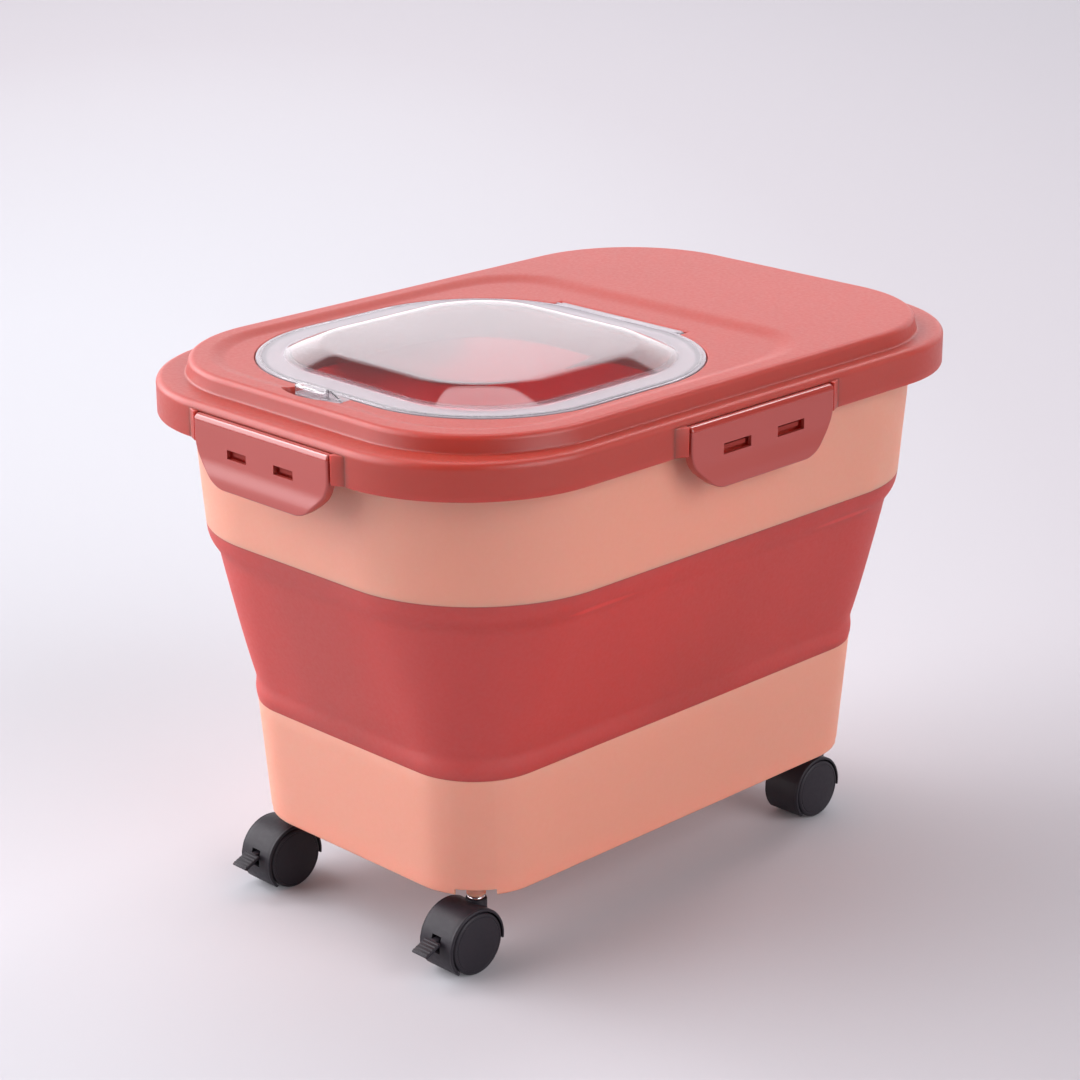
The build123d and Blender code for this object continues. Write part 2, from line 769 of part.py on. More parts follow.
for place, spot in caster_spots.items():
    braked = place.startswith("front")

    # Hood: fender over both wheels, web between them and neck round the stem
    with BuildPart() as caster_hood:
        disc(spot, fender_r, fender_half, -caster_trail, wheel_r)
        disc(spot, fender_r - fender_wall, fender_half, -caster_trail, wheel_r, Mode.SUBTRACT)
        disc(spot, fender_r - fender_wall / 2, web_half, -caster_trail, wheel_r)
        with BuildSketch(Plane.XY.offset(stem_foot_z)):
            with Locations(spot):
                Circle(neck_r)
        extrude(amount=neck_top_z - stem_foot_z)
        with BuildSketch(caster_plane(spot)):
            with BuildLine():
                Polyline(
                    (-caster_trail - 2 * fender_r, fender_foot_z),
                    (-caster_trail, fender_foot_z),
                    (-caster_trail + fender_r / 2, fender_tail_z),
                    (-caster_trail + 2 * fender_r, fender_tail_z),
                    (-caster_trail + 2 * fender_r, -fender_r),
                    (-caster_trail - 2 * fender_r, -fender_r),
                    close=True,
                )
            make_face()
        extrude(amount=2 * fender_half, both=True, mode=Mode.SUBTRACT)
        for end in (-1, 1):
            with BuildSketch(caster_plane(spot, end * (web_half + fender_half))):
                with Locations((-caster_trail, wheel_r)):
                    Circle(wheel_r + fender_gap)
            extrude(amount=fender_half, both=True, mode=Mode.SUBTRACT)
        with BuildSketch(Plane.XY.offset(stem_foot_z)):
            with Locations(spot):
                Circle(stem_r + running_clearance)
        extrude(amount=neck_top_z - stem_foot_z, mode=Mode.SUBTRACT)
        disc(spot, axle_r + running_clearance, web_half, -caster_trail, wheel_r, Mode.SUBTRACT)
        if braked:
            lever_tip_y = -caster_trail - fender_r - lever_pad_length
            with BuildSketch(caster_plane(spot)):
                with BuildLine():
                    Polyline(
                        (lever_tip_y, lever_z - lever_wall / 2 + lever_window_rise),
                        (lever_y + lever_window_rise, lever_z - lever_wall / 2 + lever_window_rise),
                        (lever_y + lever_window_rise, lever_z - lever_window_drop),
                        (lever_tip_y, lever_z - lever_window_drop - lever_drop),
                        close=True,
                    )
                make_face()
            extrude(amount=lever_half + lever_side_gap, both=True, mode=Mode.SUBTRACT)
            disc(spot, lever_pivot_r + running_clearance, web_half, lever_y, lever_z, Mode.SUBTRACT)
    finish(caster_hood, f"caster_hood_{place}")

    # Stem and grip ring
    with BuildPart() as caster_stem:
        with BuildSketch(Plane.XY.offset(stem_foot_z)):
            with Locations(spot):
                Circle(stem_r)
        extrude(amount=boss_foot_z + stem_socket_depth - running_clearance - stem_foot_z)
    finish(caster_stem, f"caster_stem_{place}")

    with BuildPart() as caster_ring:
        with BuildSketch(Plane.XY.offset(neck_top_z + ring_gap)):
            with Locations(spot):
                Circle(ring_r)
                Circle(stem_r + running_clearance, mode=Mode.SUBTRACT)
        extrude(amount=boss_foot_z - neck_top_z - 2 * ring_gap)
    finish(caster_ring, f"caster_ring_{place}")

    # Axle and the two wheels
    with BuildPart() as caster_axle:
        disc(spot, axle_r, axle_half, -caster_trail, wheel_r)
    finish(caster_axle, f"caster_axle_{place}")

    for end, hand in ((-1, "left"), (1, "right")):
        with BuildPart() as caster_wheel:
            with BuildSketch(caster_plane(spot, end * wheel_inner)):
                with Locations((-caster_trail, wheel_r)):
                    Circle(wheel_r)
            extrude(amount=end * wheel_width)
            fillet(caster_wheel.edges().filter_by(GeomType.CIRCLE), wheel_tread_round)
            with BuildSketch(caster_plane(spot, end * wheel_inner)):
                with Locations((-caster_trail, wheel_r)):
                    Circle(axle_r + running_clearance / 2)
            extrude(amount=end * wheel_width, mode=Mode.SUBTRACT)
            with BuildSketch(caster_plane(spot, end * (wheel_inner + wheel_width))):
                with Locations((-caster_trail, wheel_r)):
                    Circle(wheel_r - 2 * wheel_tread_round)
            extrude(amount=end * wheel_dome, taper=wheel_dome_slope)
        finish(caster_wheel, f"caster_wheel_{hand}_{place}")

    # Brake lever of the front casters: pivot, arm and ribbed pedal
    if braked:
        with BuildPart() as brake_lever:
            disc(spot, lever_pivot_r + lever_wall / 2, lever_half, lever_y, lever_z)
            with BuildSketch(caster_plane(spot)):
                with BuildLine():
                    Polyline(
                        (lever_y, lever_z + lever_wall / 2),
                        (lever_tip_y + lever_pad_length - lever_side_gap, lever_z + lever_wall / 2),
                        (lever_tip_y, lever_z + lever_wall / 2 - lever_drop),
                        (lever_tip_y, lever_z - lever_wall / 2 - lever_drop),
                        (lever_tip_y + lever_pad_length - lever_side_gap, lever_z - lever_wall / 2),
                        (lever_y, lever_z - lever_wall / 2),
                        close=True,
                    )
                make_face()
            extrude(amount=lever_half, both=True)
            with BuildSketch(caster_plane(spot)):
                with BuildLine():
                    pad_back_y = lever_tip_y + lever_pad_length - lever_pad_gap
                    Polyline(
                        (pad_back_y, lever_z + lever_wall / 2),
                        (lever_tip_y, lever_z + lever_wall / 2 - lever_drop),
                        (lever_tip_y, lever_z - lever_wall / 2 - lever_drop),
                        (pad_back_y, lever_z - lever_wall / 2),
                        close=True,
                    )
                make_face()
            extrude(amount=lever_pad_half, both=True)
            disc(spot, lever_pivot_r, web_half - lever_side_gap, lever_y, lever_z)
        finish(brake_lever, f"brake_lever_{place}")
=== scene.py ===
import json
import math

import bmesh
import bpy
import numpy as np
from mathutils import Matrix, Vector


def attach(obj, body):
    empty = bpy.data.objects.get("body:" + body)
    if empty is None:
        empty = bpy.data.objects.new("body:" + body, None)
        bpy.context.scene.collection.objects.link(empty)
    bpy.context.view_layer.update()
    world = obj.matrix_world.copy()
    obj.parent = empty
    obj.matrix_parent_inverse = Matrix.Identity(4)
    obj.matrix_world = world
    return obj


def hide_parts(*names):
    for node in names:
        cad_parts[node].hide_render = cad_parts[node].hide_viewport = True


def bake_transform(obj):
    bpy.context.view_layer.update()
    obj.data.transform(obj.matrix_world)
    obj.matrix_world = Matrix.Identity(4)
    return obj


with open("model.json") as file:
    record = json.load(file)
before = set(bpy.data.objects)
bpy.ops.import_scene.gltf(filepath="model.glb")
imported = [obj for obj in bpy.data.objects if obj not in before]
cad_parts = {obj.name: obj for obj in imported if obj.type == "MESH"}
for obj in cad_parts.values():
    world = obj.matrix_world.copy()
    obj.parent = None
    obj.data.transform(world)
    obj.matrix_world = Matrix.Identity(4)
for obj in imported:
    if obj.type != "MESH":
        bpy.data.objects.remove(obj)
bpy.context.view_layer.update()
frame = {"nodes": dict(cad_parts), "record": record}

MM = 0.001

# Outlines: signed distance functions in plan and the rays that find them


def rounded(half_x, half_y, corner, y=0.0):
    """Signed distance from points to a rounded rectangle centred at (0, y)."""
    def distance(px, py):
        qx = np.abs(px) - (half_x - corner)
        qy = np.abs(py - y) - (half_y - corner)
        outside = np.hypot(np.maximum(qx, 0), np.maximum(qy, 0))
        return outside + np.minimum(np.maximum(qx, qy), 0) - corner
    return distance


def union(first, second):
    """Signed distance to two shapes taken together."""
    return lambda px, py: np.minimum(first(px, py), second(px, py))


def between(low, high, share, grow=0.0):
    """Rounded rectangle a share of the way from one to the other, grown outward."""
    half_x, half_y, corner = (a + (b - a) * share for a, b in zip(low, high))
    return rounded(half_x + grow, half_y + grow, corner + grow)


def cast(shape, angles, centre_y=0.0, grow=0.0):
    """Plan points where rays from (0, centre_y) leave the shape grown by grow."""
    low, high = np.zeros_like(angles), np.full_like(angles, 420.0)
    cos, sin = np.cos(angles), np.sin(angles)
    for _ in range(42):
        middle = (low + high) / 2
        inside = shape(middle * cos, centre_y + middle * sin) < grow
        low, high = np.where(inside, middle, low), np.where(inside, high, middle)
    return np.stack([low * cos, centre_y + low * sin], axis=1)


def ring(points, height):
    """Plan points lifted to a height, which may be a number or one value for each point."""
    z = np.broadcast_to(np.asarray(height, float), (len(points),))
    return np.column_stack([points, z])


def smooth(t):
    """S-curve from 0 to 1."""
    t = np.clip(t, 0, 1)
    return t * t * (3 - 2 * t)


def arc(start, stop, steps):
    """Evenly spaced values from start to stop, both included."""
    return [start + (stop - start) * k / steps for k in range(steps + 1)]


# Surfaces: each returns points in mm and faces, and make_piece joins them into one object


def strip(rings, loop=False, low_cap=False, high_cap=False):
    """Surface through rings of equal length; loop joins the last ring to the first."""
    count, size = len(rings), len(rings[0])
    faces = []
    for k in range(count if loop else count - 1):
        a, b = k * size, ((k + 1) % count) * size
        faces += [(a + i, a + (i + 1) % size, b + (i + 1) % size, b + i) for i in range(size)]
    if low_cap:
        faces.append(tuple(reversed(range(size))))
    if high_cap:
        faces.append(tuple(range((count - 1) * size, count * size)))
    return np.concatenate(rings), faces


def lathe(profile, centre, axis="z", steps=48):
    """Closed body of revolution through (radius, height) pairs, along z or x from the centre."""
    turns = np.linspace(0, 2 * np.pi, steps, endpoint=False)
    rings = []
    for radius, along in profile:
        u, v = radius * np.cos(turns), radius * np.sin(turns)
        w = np.full_like(u, along)
        local = np.column_stack([u, v, w] if axis == "z" else [w, u, v])
        rings.append(local + np.asarray(centre))
    return strip(rings, low_cap=True, high_cap=True)


def thick_grid(front, back, holes=()):
    """Closed plate between two grids of points, with whole cells left out as holes."""
    rows, cols = front.shape[:2]
    points = np.concatenate([front.reshape(-1, 3), back.reshape(-1, 3)])
    half = rows * cols
    cells = {(r, c) for r in range(rows - 1) for c in range(cols - 1)} - set(holes)
    faces = []
    for r, c in sorted(cells):
        quad = (r * cols + c, r * cols + c + 1, (r + 1) * cols + c + 1, (r + 1) * cols + c)
        faces.append(quad)
        faces.append(tuple(half + v for v in reversed(quad)))
        sides = (
            ((r - 1, c), quad[0], quad[1]), ((r, c + 1), quad[1], quad[2]),
            ((r + 1, c), quad[2], quad[3]), ((r, c - 1), quad[3], quad[0]),
        )
        for other, a, b in sides:
            if other not in cells:
                faces.append((a, half + a, half + b, b))
    return points, faces


def prism(outline, low, high, axis="z", bevel=0.5, segments=3):
    """Polygon drawn out between two heights along z, x or y, with its edges rounded."""
    bm = bmesh.new()
    order = {"z": (0, 1, 2), "x": (2, 0, 1), "y": (0, 2, 1)}[axis]

    def corners(level):
        return [bm.verts.new([(u, v, level)[i] for i in order]) for u, v in outline]

    floor, roof = corners(low), corners(high)
    bm.faces.new(list(reversed(floor)))
    bm.faces.new(roof)
    for i in range(len(outline)):
        j = (i + 1) % len(outline)
        bm.faces.new((floor[i], floor[j], roof[j], roof[i]))
    if bevel:
        bmesh.ops.bevel(
            bm, geom=list(bm.edges), offset=bevel, segments=segments, profile=0.5,
            affect="EDGES", clamp_overlap=True,
        )
    bm.verts.index_update()
    points = np.array([v.co[:] for v in bm.verts])
    faces = [tuple(v.index for v in face.verts) for face in bm.faces]
    bm.free()
    return points, faces


def make_piece(name, *surfaces, angle=34.0):
    """One object from closed surfaces, with outward faces and smooth shading."""
    points, faces = [], []
    for some_points, some_faces in surfaces:
        start = sum(len(p) for p in points)
        points.append(np.asarray(some_points))
        faces += [tuple(start + i for i in face) for face in some_faces]
    mesh = bpy.data.meshes.new(name)
    mesh.from_pydata((np.concatenate(points) * MM).tolist(), [], faces)
    bm = bmesh.new()
    bm.from_mesh(mesh)
    bmesh.ops.delete(bm, geom=[v for v in bm.verts if not v.link_faces], context="VERTS")
    bmesh.ops.recalc_face_normals(bm, faces=bm.faces)
    bm.to_mesh(mesh)
    bm.free()
    mesh.shade_smooth()
    mesh.set_sharp_from_angle(angle=math.radians(angle))
    piece = bpy.data.objects.new(name, mesh)
    bpy.context.scene.collection.objects.link(piece)
    return piece


def dress(piece, body, slot, material, *nodes):
    """Gives a piece its material and its body, and hides the CAD nodes that it stands for; slot is not
    used.
    """
    piece.data.materials.append(material)
    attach(piece, body)
    if nodes:
        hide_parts(*nodes)
    return piece


# Materials: procedural, on object coordinates in metres


def node_material(name):
    """New material with its nodes, its links and its shader."""
    mat = bpy.data.materials.new(name)
    mat.use_nodes = True
    return mat, mat.node_tree.nodes, mat.node_tree.links, mat.node_tree.nodes["Principled BSDF"]


def object_coords(nodes):
    """Position on the object in metres."""
    return nodes.new("ShaderNodeTexCoord").outputs["Object"]


def link_noise(nodes, links, scale, detail=2.0, stretch=None):
    """Noise over the object, stretched along its axes if asked."""
    noise = nodes.new("ShaderNodeTexNoise")
    noise.inputs["Scale"].default_value = scale
    noise.inputs["Detail"].default_value = detail
    place = object_coords(nodes)
    if stretch:
        mapping = nodes.new("ShaderNodeMapping")
        mapping.inputs["Scale"].default_value = stretch
        links.new(place, mapping.inputs["Vector"])
        place = mapping.outputs["Vector"]
    links.new(place, noise.inputs["Vector"])
    return noise


def ramp_between(nodes, links, source, stops):
    """Colour ramp through (position, color) stops."""
    ramp = nodes.new("ShaderNodeValToRGB")
    elements = ramp.color_ramp.elements
    elements[0].position, elements[0].color = stops[0][0], (*stops[0][1], 1)
    elements[1].position, elements[1].color = stops[-1][0], (*stops[-1][1], 1)
    for position, color in stops[1:-1]:
        elements.new(position).color = (*color, 1)
    links.new(source, ramp.inputs["Fac"])
    return ramp


def map_range(nodes, links, source, from_min, from_max, to_min=0.0, to_max=1.0):
    """Clamped straight step from one range to another."""
    step = nodes.new("ShaderNodeMapRange")
    limits = {"From Min": from_min, "From Max": from_max, "To Min": to_min, "To Max": to_max}
    for socket, value in limits.items():
        step.inputs[socket].default_value = value
    links.new(source, step.inputs["Value"])
    return step


def link_bump(nodes, links, source, strength, distance, shader):
    """Bump on the shader from a height."""
    bump = nodes.new("ShaderNodeBump")
    bump.inputs["Strength"].default_value = strength
    bump.inputs["Distance"].default_value = distance
    links.new(source, bump.inputs["Height"])
    links.new(bump.outputs["Normal"], shader.inputs["Normal"])


def split_coords(nodes, links):
    """Position on the object split into X, Y and Z."""
    place = nodes.new("ShaderNodeSeparateXYZ")
    links.new(object_coords(nodes), place.inputs["Vector"])
    return place


def paint_inside_light(nodes, links, shade, inside):
    """The colour outside, and a painted inside colour where a face looks toward the middle of the bin:
    painted shade or painted glow that stands in for the light there.
    """
    facing = nodes.new("ShaderNodeVectorMath")
    facing.operation = "DOT_PRODUCT"
    links.new(nodes.new("ShaderNodeNewGeometry").outputs["Normal"], facing.inputs[0])
    links.new(object_coords(nodes), facing.inputs[1])
    inward = map_range(nodes, links, facing.outputs["Value"], 0.0, -0.04)
    mix = nodes.new("ShaderNodeMix")
    mix.data_type = "RGBA"
    links.new(inward.outputs["Result"], mix.inputs["Factor"])
    links.new(shade, mix.inputs["A"])
    mix.inputs["B"].default_value = (*inside, 1)
    return mix.outputs["Result"]


def moulded(name, color, spread, rough, grain=0.00003, grain_scale=1500.0, specular=0.5, scatter=0.0,
            reach=(0.010, 0.004, 0.003), ior=1.5, polished=None, inside=None):
    """Moulded plastic: faint flow clouding, fine spark grain and slightly uneven gloss.

    polished gives two heights, between which the roughness turns into a third number.
    """
    mat, nodes, links, shader = node_material(name)
    clouds = link_noise(nodes, links, 7.0, 3.0, (1.0, 1.0, 0.45))
    dark = tuple(c * (1 - spread) for c in color)
    light = tuple(min(1.0, c * (1 + spread)) for c in color)
    tint = ramp_between(nodes, links, clouds.outputs["Fac"], [(0.32, dark), (0.5, color), (0.68, light)])
    shade = tint.outputs["Color"]
    # painted light: faces looking toward the middle of the bin get the painted inside colour
    if inside:
        shade = paint_inside_light(nodes, links, shade, inside)
    links.new(shade, shader.inputs["Base Color"])
    gloss = link_noise(nodes, links, 420.0, 3.0)
    level = map_range(nodes, links, gloss.outputs["Fac"], 0.3, 0.7, *rough)
    if polished:
        low, high, rough_there = polished
        place = split_coords(nodes, links)
        rubbed = map_range(nodes, links, place.outputs["Z"], low, high, to_max=rough_there)
        links.new(level.outputs["Result"], rubbed.inputs["To Min"])
        level = rubbed
    links.new(level.outputs["Result"], shader.inputs["Roughness"])
    fine = link_noise(nodes, links, grain_scale)
    link_bump(nodes, links, fine.outputs["Fac"], 0.35, grain, shader)
    shader.inputs["Specular IOR Level"].default_value = specular
    shader.inputs["Subsurface Weight"].default_value = scatter
    shader.inputs["Subsurface Radius"].default_value = reach
    shader.inputs["Subsurface Scale"].default_value = 1.0
    shader.inputs["IOR"].default_value = ior
    return mat


def clear_material():
    """Clear moulded cover: polished, with faint flow lines and a slight haze on its flange and tab."""
    mat, nodes, links, shader = node_material("clear_cover")
    shader.inputs["Base Color"].default_value = (0.985, 0.965, 0.975, 1)
    shader.inputs["Transmission Weight"].default_value = 1.0
    shader.inputs["IOR"].default_value = 1.49
    flow = link_noise(nodes, links, 26.0, 3.0, (1.0, 0.35, 1.0))
    level = map_range(nodes, links, flow.outputs["Fac"], 0.3, 0.7, 0.015, 0.045)
    links.new(level.outputs["Result"], shader.inputs["Roughness"])
    wave = link_noise(nodes, links, 14.0)
    link_bump(nodes, links, wave.outputs["Fac"], 0.10, 0.001, shader)
    place = split_coords(nodes, links)
    height = map_range(nodes, links, place.outputs["Z"], 0.3260, 0.3360)
    haze_by_height = [(0.02, 0.38), (0.08, 0.03), (0.82, 0.02), (0.90, 0.10), (1.0, 0.12)]
    greys = [(position, (share,) * 3) for position, share in haze_by_height]
    bands = ramp_between(nodes, links, height.outputs["Result"], greys)
    front = map_range(nodes, links, place.outputs["Y"], -0.172, -0.168, 0.10, 0.0)
    milky = nodes.new("ShaderNodeMath")
    milky.operation = "MAXIMUM"
    links.new(bands.outputs["Color"], milky.inputs[0])
    links.new(front.outputs["Result"], milky.inputs[1])
    haze = nodes.new("ShaderNodeBsdfPrincipled")
    pale = [(0.3, (0.56, 0.50, 0.55)), (0.7, (0.62, 0.56, 0.60))]
    tint = ramp_between(nodes, links, flow.outputs["Fac"], pale)
    links.new(tint.outputs["Color"], haze.inputs["Base Color"])
    haze.inputs["Roughness"].default_value = 0.40
    mix = nodes.new("ShaderNodeMixShader")
    links.new(milky.outputs["Value"], mix.inputs["Fac"])
    links.new(shader.outputs["BSDF"], mix.inputs[1])
    links.new(haze.outputs["BSDF"], mix.inputs[2])
    links.new(mix.outputs["Shader"], nodes["Material Output"].inputs["Surface"])
    return mat


def metal_material(name, color, rough):
    """Bright metal with fine drawing lines."""
    mat, nodes, links, shader = node_material(name)
    lines = link_noise(nodes, links, 300.0, 3.0, (1.0, 1.0, 6.0))
    dark = tuple(c * 0.8 for c in color)
    tint = ramp_between(nodes, links, lines.outputs["Fac"], [(0.35, dark), (0.65, color)])
    links.new(tint.outputs["Color"], shader.inputs["Base Color"])
    shader.inputs["Metallic"].default_value = 1.0
    level = map_range(nodes, links, lines.outputs["Fac"], 0.3, 0.7, rough * 0.7, rough * 1.3)
    links.new(level.outputs["Result"], shader.inputs["Roughness"])
    return mat


PEACH_LOOK = {
    "color": (0.74, 0.262, 0.165), "spread": 0.015, "rough": (0.56, 0.64),
    "specular": 1.0, "scatter": 0.9, "ior": 1.62,
}
PEACH = moulded("peach_moulded", **PEACH_LOOK)
RED = moulded(
    "terracotta_moulded", (0.405, 0.036, 0.020), 0.02, (0.38, 0.46),
    specular=0.58, scatter=0.6, reach=(0.010, 0.0015, 0.001),
)
CLIP_RED = moulded(
    "terracotta_polished", (0.38, 0.042, 0.030), 0.02, (0.36, 0.38), grain=0.00001,
    specular=0.9, polished=(0.3100, 0.3118, 0.16),
)
# painted glow: the band's inside faces take a bright red that stands in for light coming through the soft
# wall
BAND = moulded(
    "terracotta_soft", (0.44, 0.013, 0.005), 0.015, (0.58, 0.66), grain_scale=1100.0,
    specular=0.9, scatter=0.9, reach=(0.012, 0.002, 0.0015), ior=1.56, inside=(0.90, 0.034, 0.024),
)
# painted shade: the lugs behind the clip slots take a dark terracotta that stands in for the shade inside
# the slots
LUG_PAINTED_SHADE = moulded("terracotta_lug_painted_shade", (0.26, 0.026, 0.019), 0.05, (0.50, 0.60), specular=0.2)
# painted shade: the frame's inside faces take a deep red that stands in for the shade under the closed lid
FRAME = moulded("peach_frame", **PEACH_LOOK, inside=(0.52, 0.030, 0.024))
# painted glow: the lid plug takes a bright red that stands in for light coming through the lid and the band
PAINTED_GLOW = moulded(
    "terracotta_inner_painted_glow", (0.88, 0.050, 0.034), 0.02, (0.50, 0.60),
    scatter=1.0, reach=(0.030, 0.002, 0.001),
)
CLEAR = clear_material()
SILICONE = moulded("silicone_pale", (0.80, 0.76, 0.79), 0.03, (0.42, 0.52), 0.00002, 900.0)
NYLON = moulded("nylon_black", (0.016, 0.013, 0.018), 0.15, (0.44, 0.54), 0.00006, 900.0, 0.3)
STEEL = metal_material("steel_drawn", (0.58, 0.58, 0.60), 0.28)
CHROME = metal_material("chrome_bright", (0.78, 0.78, 0.80), 0.12)
SLOT_MATERIAL = {
    "peach_plastic": PEACH, "terracotta_plastic": RED, "terracotta_rubber": BAND,
    "clear_plastic": CLEAR, "clear_silicone": SILICONE, "black_nylon": NYLON,
    "steel": STEEL, "chrome_ring": CHROME,
}
# painted shade: frame_rim takes the darker terracotta instead of peach so that it shows dark through the
# clip slots
NODE_MATERIAL = {"upper_frame": FRAME, "frame_rim": RED, "lid_plug": PAINTED_GLOW}
for entry in frame["record"]["subparts"]:
    name = entry["node"]
    usual = LUG_PAINTED_SHADE if name.startswith("rim_lug") else SLOT_MATERIAL[entry["material_slot"]]
    materials = frame["nodes"][name].data.materials
    materials.clear()
    materials.append(NODE_MATERIAL.get(name, usual))

# Sizes shared by the pieces, in mm

TUB_BASE, TUB_TOP, BAND_TOP = 46.0, 119.0, 231.5
FLANGE, SKIRT, PLATEAU, PAN = 318.5, 297.5, 328.1, 325.9
SEAT, DOOR_TOP, DOOR_UNDER = 322.9, 326.1, 324.3
DOOR_Y = -65.0
WALL = 2.4
# Plans of the walls: half width, half length and corner radius
TUB_FOOT = (101.5, 170.5, 43.0)
TUB_HEAD = (106.0, 175.0, 44.0)
FRAME_FOOT = (139.5, 205.2, 90.0)
LID_HEAD = (154.3, 225.0, 90.0)
# Casters: place and plan position of the stem
SPOTS = {
    "front_left": (-79.3, -148.7), "front_right": (79.3, -148.7),
    "back_left": (-79.3, 148.7), "back_right": (79.3, 148.7),
}
CLIP_AXIS, CLIP_GAP, CLIP_HEAD = 310.8, 1.2, 314.4
# Clips: way out, reach of the lid, half length, and length, height and pitch of the slots
SIDES = {
    "right": ((1, 0), LID_HEAD[0], 59.5, (22.6, 6.2, 45.0)),
    "left": ((-1, 0), LID_HEAD[0], 59.5, (22.6, 6.2, 45.0)),
    "front": ((0, -1), LID_HEAD[1], 55.5, (16.0, 5.2, 39.0)),
    "back": ((0, 1), LID_HEAD[1], 55.5, (16.0, 5.2, 39.0)),
}


def to_side(side, along, out, height):
    """World points from distances along a side of the lid, out from its middle, and up."""
    (out_x, out_y), _, _, _ = SIDES[side]
    return np.stack([out_x * out - out_y * along, out_y * out + out_x * along, height], axis=-1)


# Lower tub: tapered shell with a rounded foot, corner notches, raised floor and caster bosses

NOTCH_HALF, NOTCH_TOP = 12.0, 50.0
FLOOR_TOP, FLOOR_UNDER = 53.6, 51.0
FOOT_ROUND, FLOOR_ROUND = 2.1, 5.0


def notch_edges():
    """Angles from the middle at which the corner notches begin and end on the tub's wall."""
    foot = rounded(*TUB_FOOT)
    found = []
    for spot_x, spot_y in SPOTS.values():
        way = np.array([np.sign(spot_x), np.sign(spot_y)]) / math.sqrt(2)
        for side in (-1, 1):
            start = np.array([spot_x, spot_y]) + side * NOTCH_HALF * np.array([-way[1], way[0]])
            steps = np.linspace(-20, 60, 1601)
            points = start + steps[:, None] * way
            edge = points[np.argmin(np.abs(foot(points[:, 0], points[:, 1])))]
            found.append(math.atan2(edge[1], edge[0]))
    return found


def build_tub():
    """Shell as one closed loop of rings, and a lip and a socket for each caster."""
    edges = notch_edges()
    turns = list(np.radians(np.arange(-180, 180, 1.5)))
    turns += [edge + step for edge in edges for step in (-0.0006, 0.0006)]
    turns = np.unique(np.round(turns, 6))
    cut = np.zeros(len(turns), bool)
    for first, last in zip(edges[::2], edges[1::2]):
        low, high = min(first, last), max(first, last)
        cut |= (turns > low) & (turns < high)

    def at(height, grow):
        share = (height - TUB_BASE) / (TUB_TOP - TUB_BASE)
        return ring(cast(between(TUB_FOOT, TUB_HEAD, share, grow), turns), height)

    def foot(rise, inset, cut_rise, cut_inset):
        plain, notched = at(TUB_BASE + rise, -inset), at(NOTCH_TOP + cut_rise, -cut_inset)
        return np.where(cut[:, None], notched, plain)

    rings = [foot(0.0, WALL, 0.0, WALL)]
    for a in arc(0, math.pi / 2, 5):
        bend, rise = 1 - math.sin(a), 1 - math.cos(a)
        rings.append(foot(FOOT_ROUND * rise, FOOT_ROUND * bend, 0.5 * rise, 0.5 * bend))
    rings += [at(z, 0.0) for z in (51.5, 58, 70, 84, 98, 110, 118.3)]
    rings += [at(118.75, -0.15), at(TUB_TOP, -0.6), at(TUB_TOP, -WALL)]
    rings += [at(z, -WALL) for z in (110, 90, 70, 60)]
    for a in arc(0, math.pi / 2, 5):
        bend, drop = 1 - math.cos(a), 1 - math.sin(a)
        rings.append(at(FLOOR_TOP + FLOOR_ROUND * drop, -WALL - FLOOR_ROUND * bend))
    rings += [at(FLOOR_TOP, -inset) for inset in (30.0, 70.0, 96.0)]
    rings += [at(FLOOR_UNDER, -inset) for inset in (96.0, 60.0, 20.0, WALL + 1.2)]
    rings.append(at(NOTCH_TOP, -WALL))
    surfaces = [strip(rings, loop=True)]
    lip = [(3.1, 51.5), (3.1, 42.0), (5.3, 42.0), (5.6, 42.3), (5.6, 43.2), (5.2, 43.6), (4.95, 44.2)]
    lip += [(4.9, 49.4), (5.6, 51.4), (5.6, 51.6)]
    socket = [(7.5, 53.0), (7.5, 63.8), (6.9, 64.6), (0.4, 64.6)]
    for spot in SPOTS.values():
        surfaces.append(lathe(lip, (*spot, 0)))
        surfaces.append(lathe(socket, (*spot, 0)))
    return make_piece("tub_shell", *surfaces)


dress(build_tub(), "tub", "peach_plastic", PEACH, "lower_tub")

# Fold band: soft wall with a rolled bead and a fold line at each end

BAND_WALL = 2.2
# Height and distance out from the straight taper
BAND_PROFILE = [
    (231.5, -0.6), (231.3, 0.0), (229.5, 0.35), (226.5, 0.6), (223.5, 0.5), (221.0, 0.0), (218.8, -0.9),
    (217.0, -1.9), (215.6, -2.7), (214.4, -3.0), (212.5, -2.9), (208, -2.7), (200, -2.55), (190, -2.4),
    (180, -2.3), (170, -2.2), (160, -2.2), (150, -2.3), (142, -2.5), (137, -2.7), (134.5, -2.9),
    (133.0, -3.0), (131.8, -2.8), (130.3, -2.1), (128.6, -1.3), (126.5, -0.6), (124, -0.15),
    (121, 0.05), (119.2, 0.0), (119.0, -0.5),
]


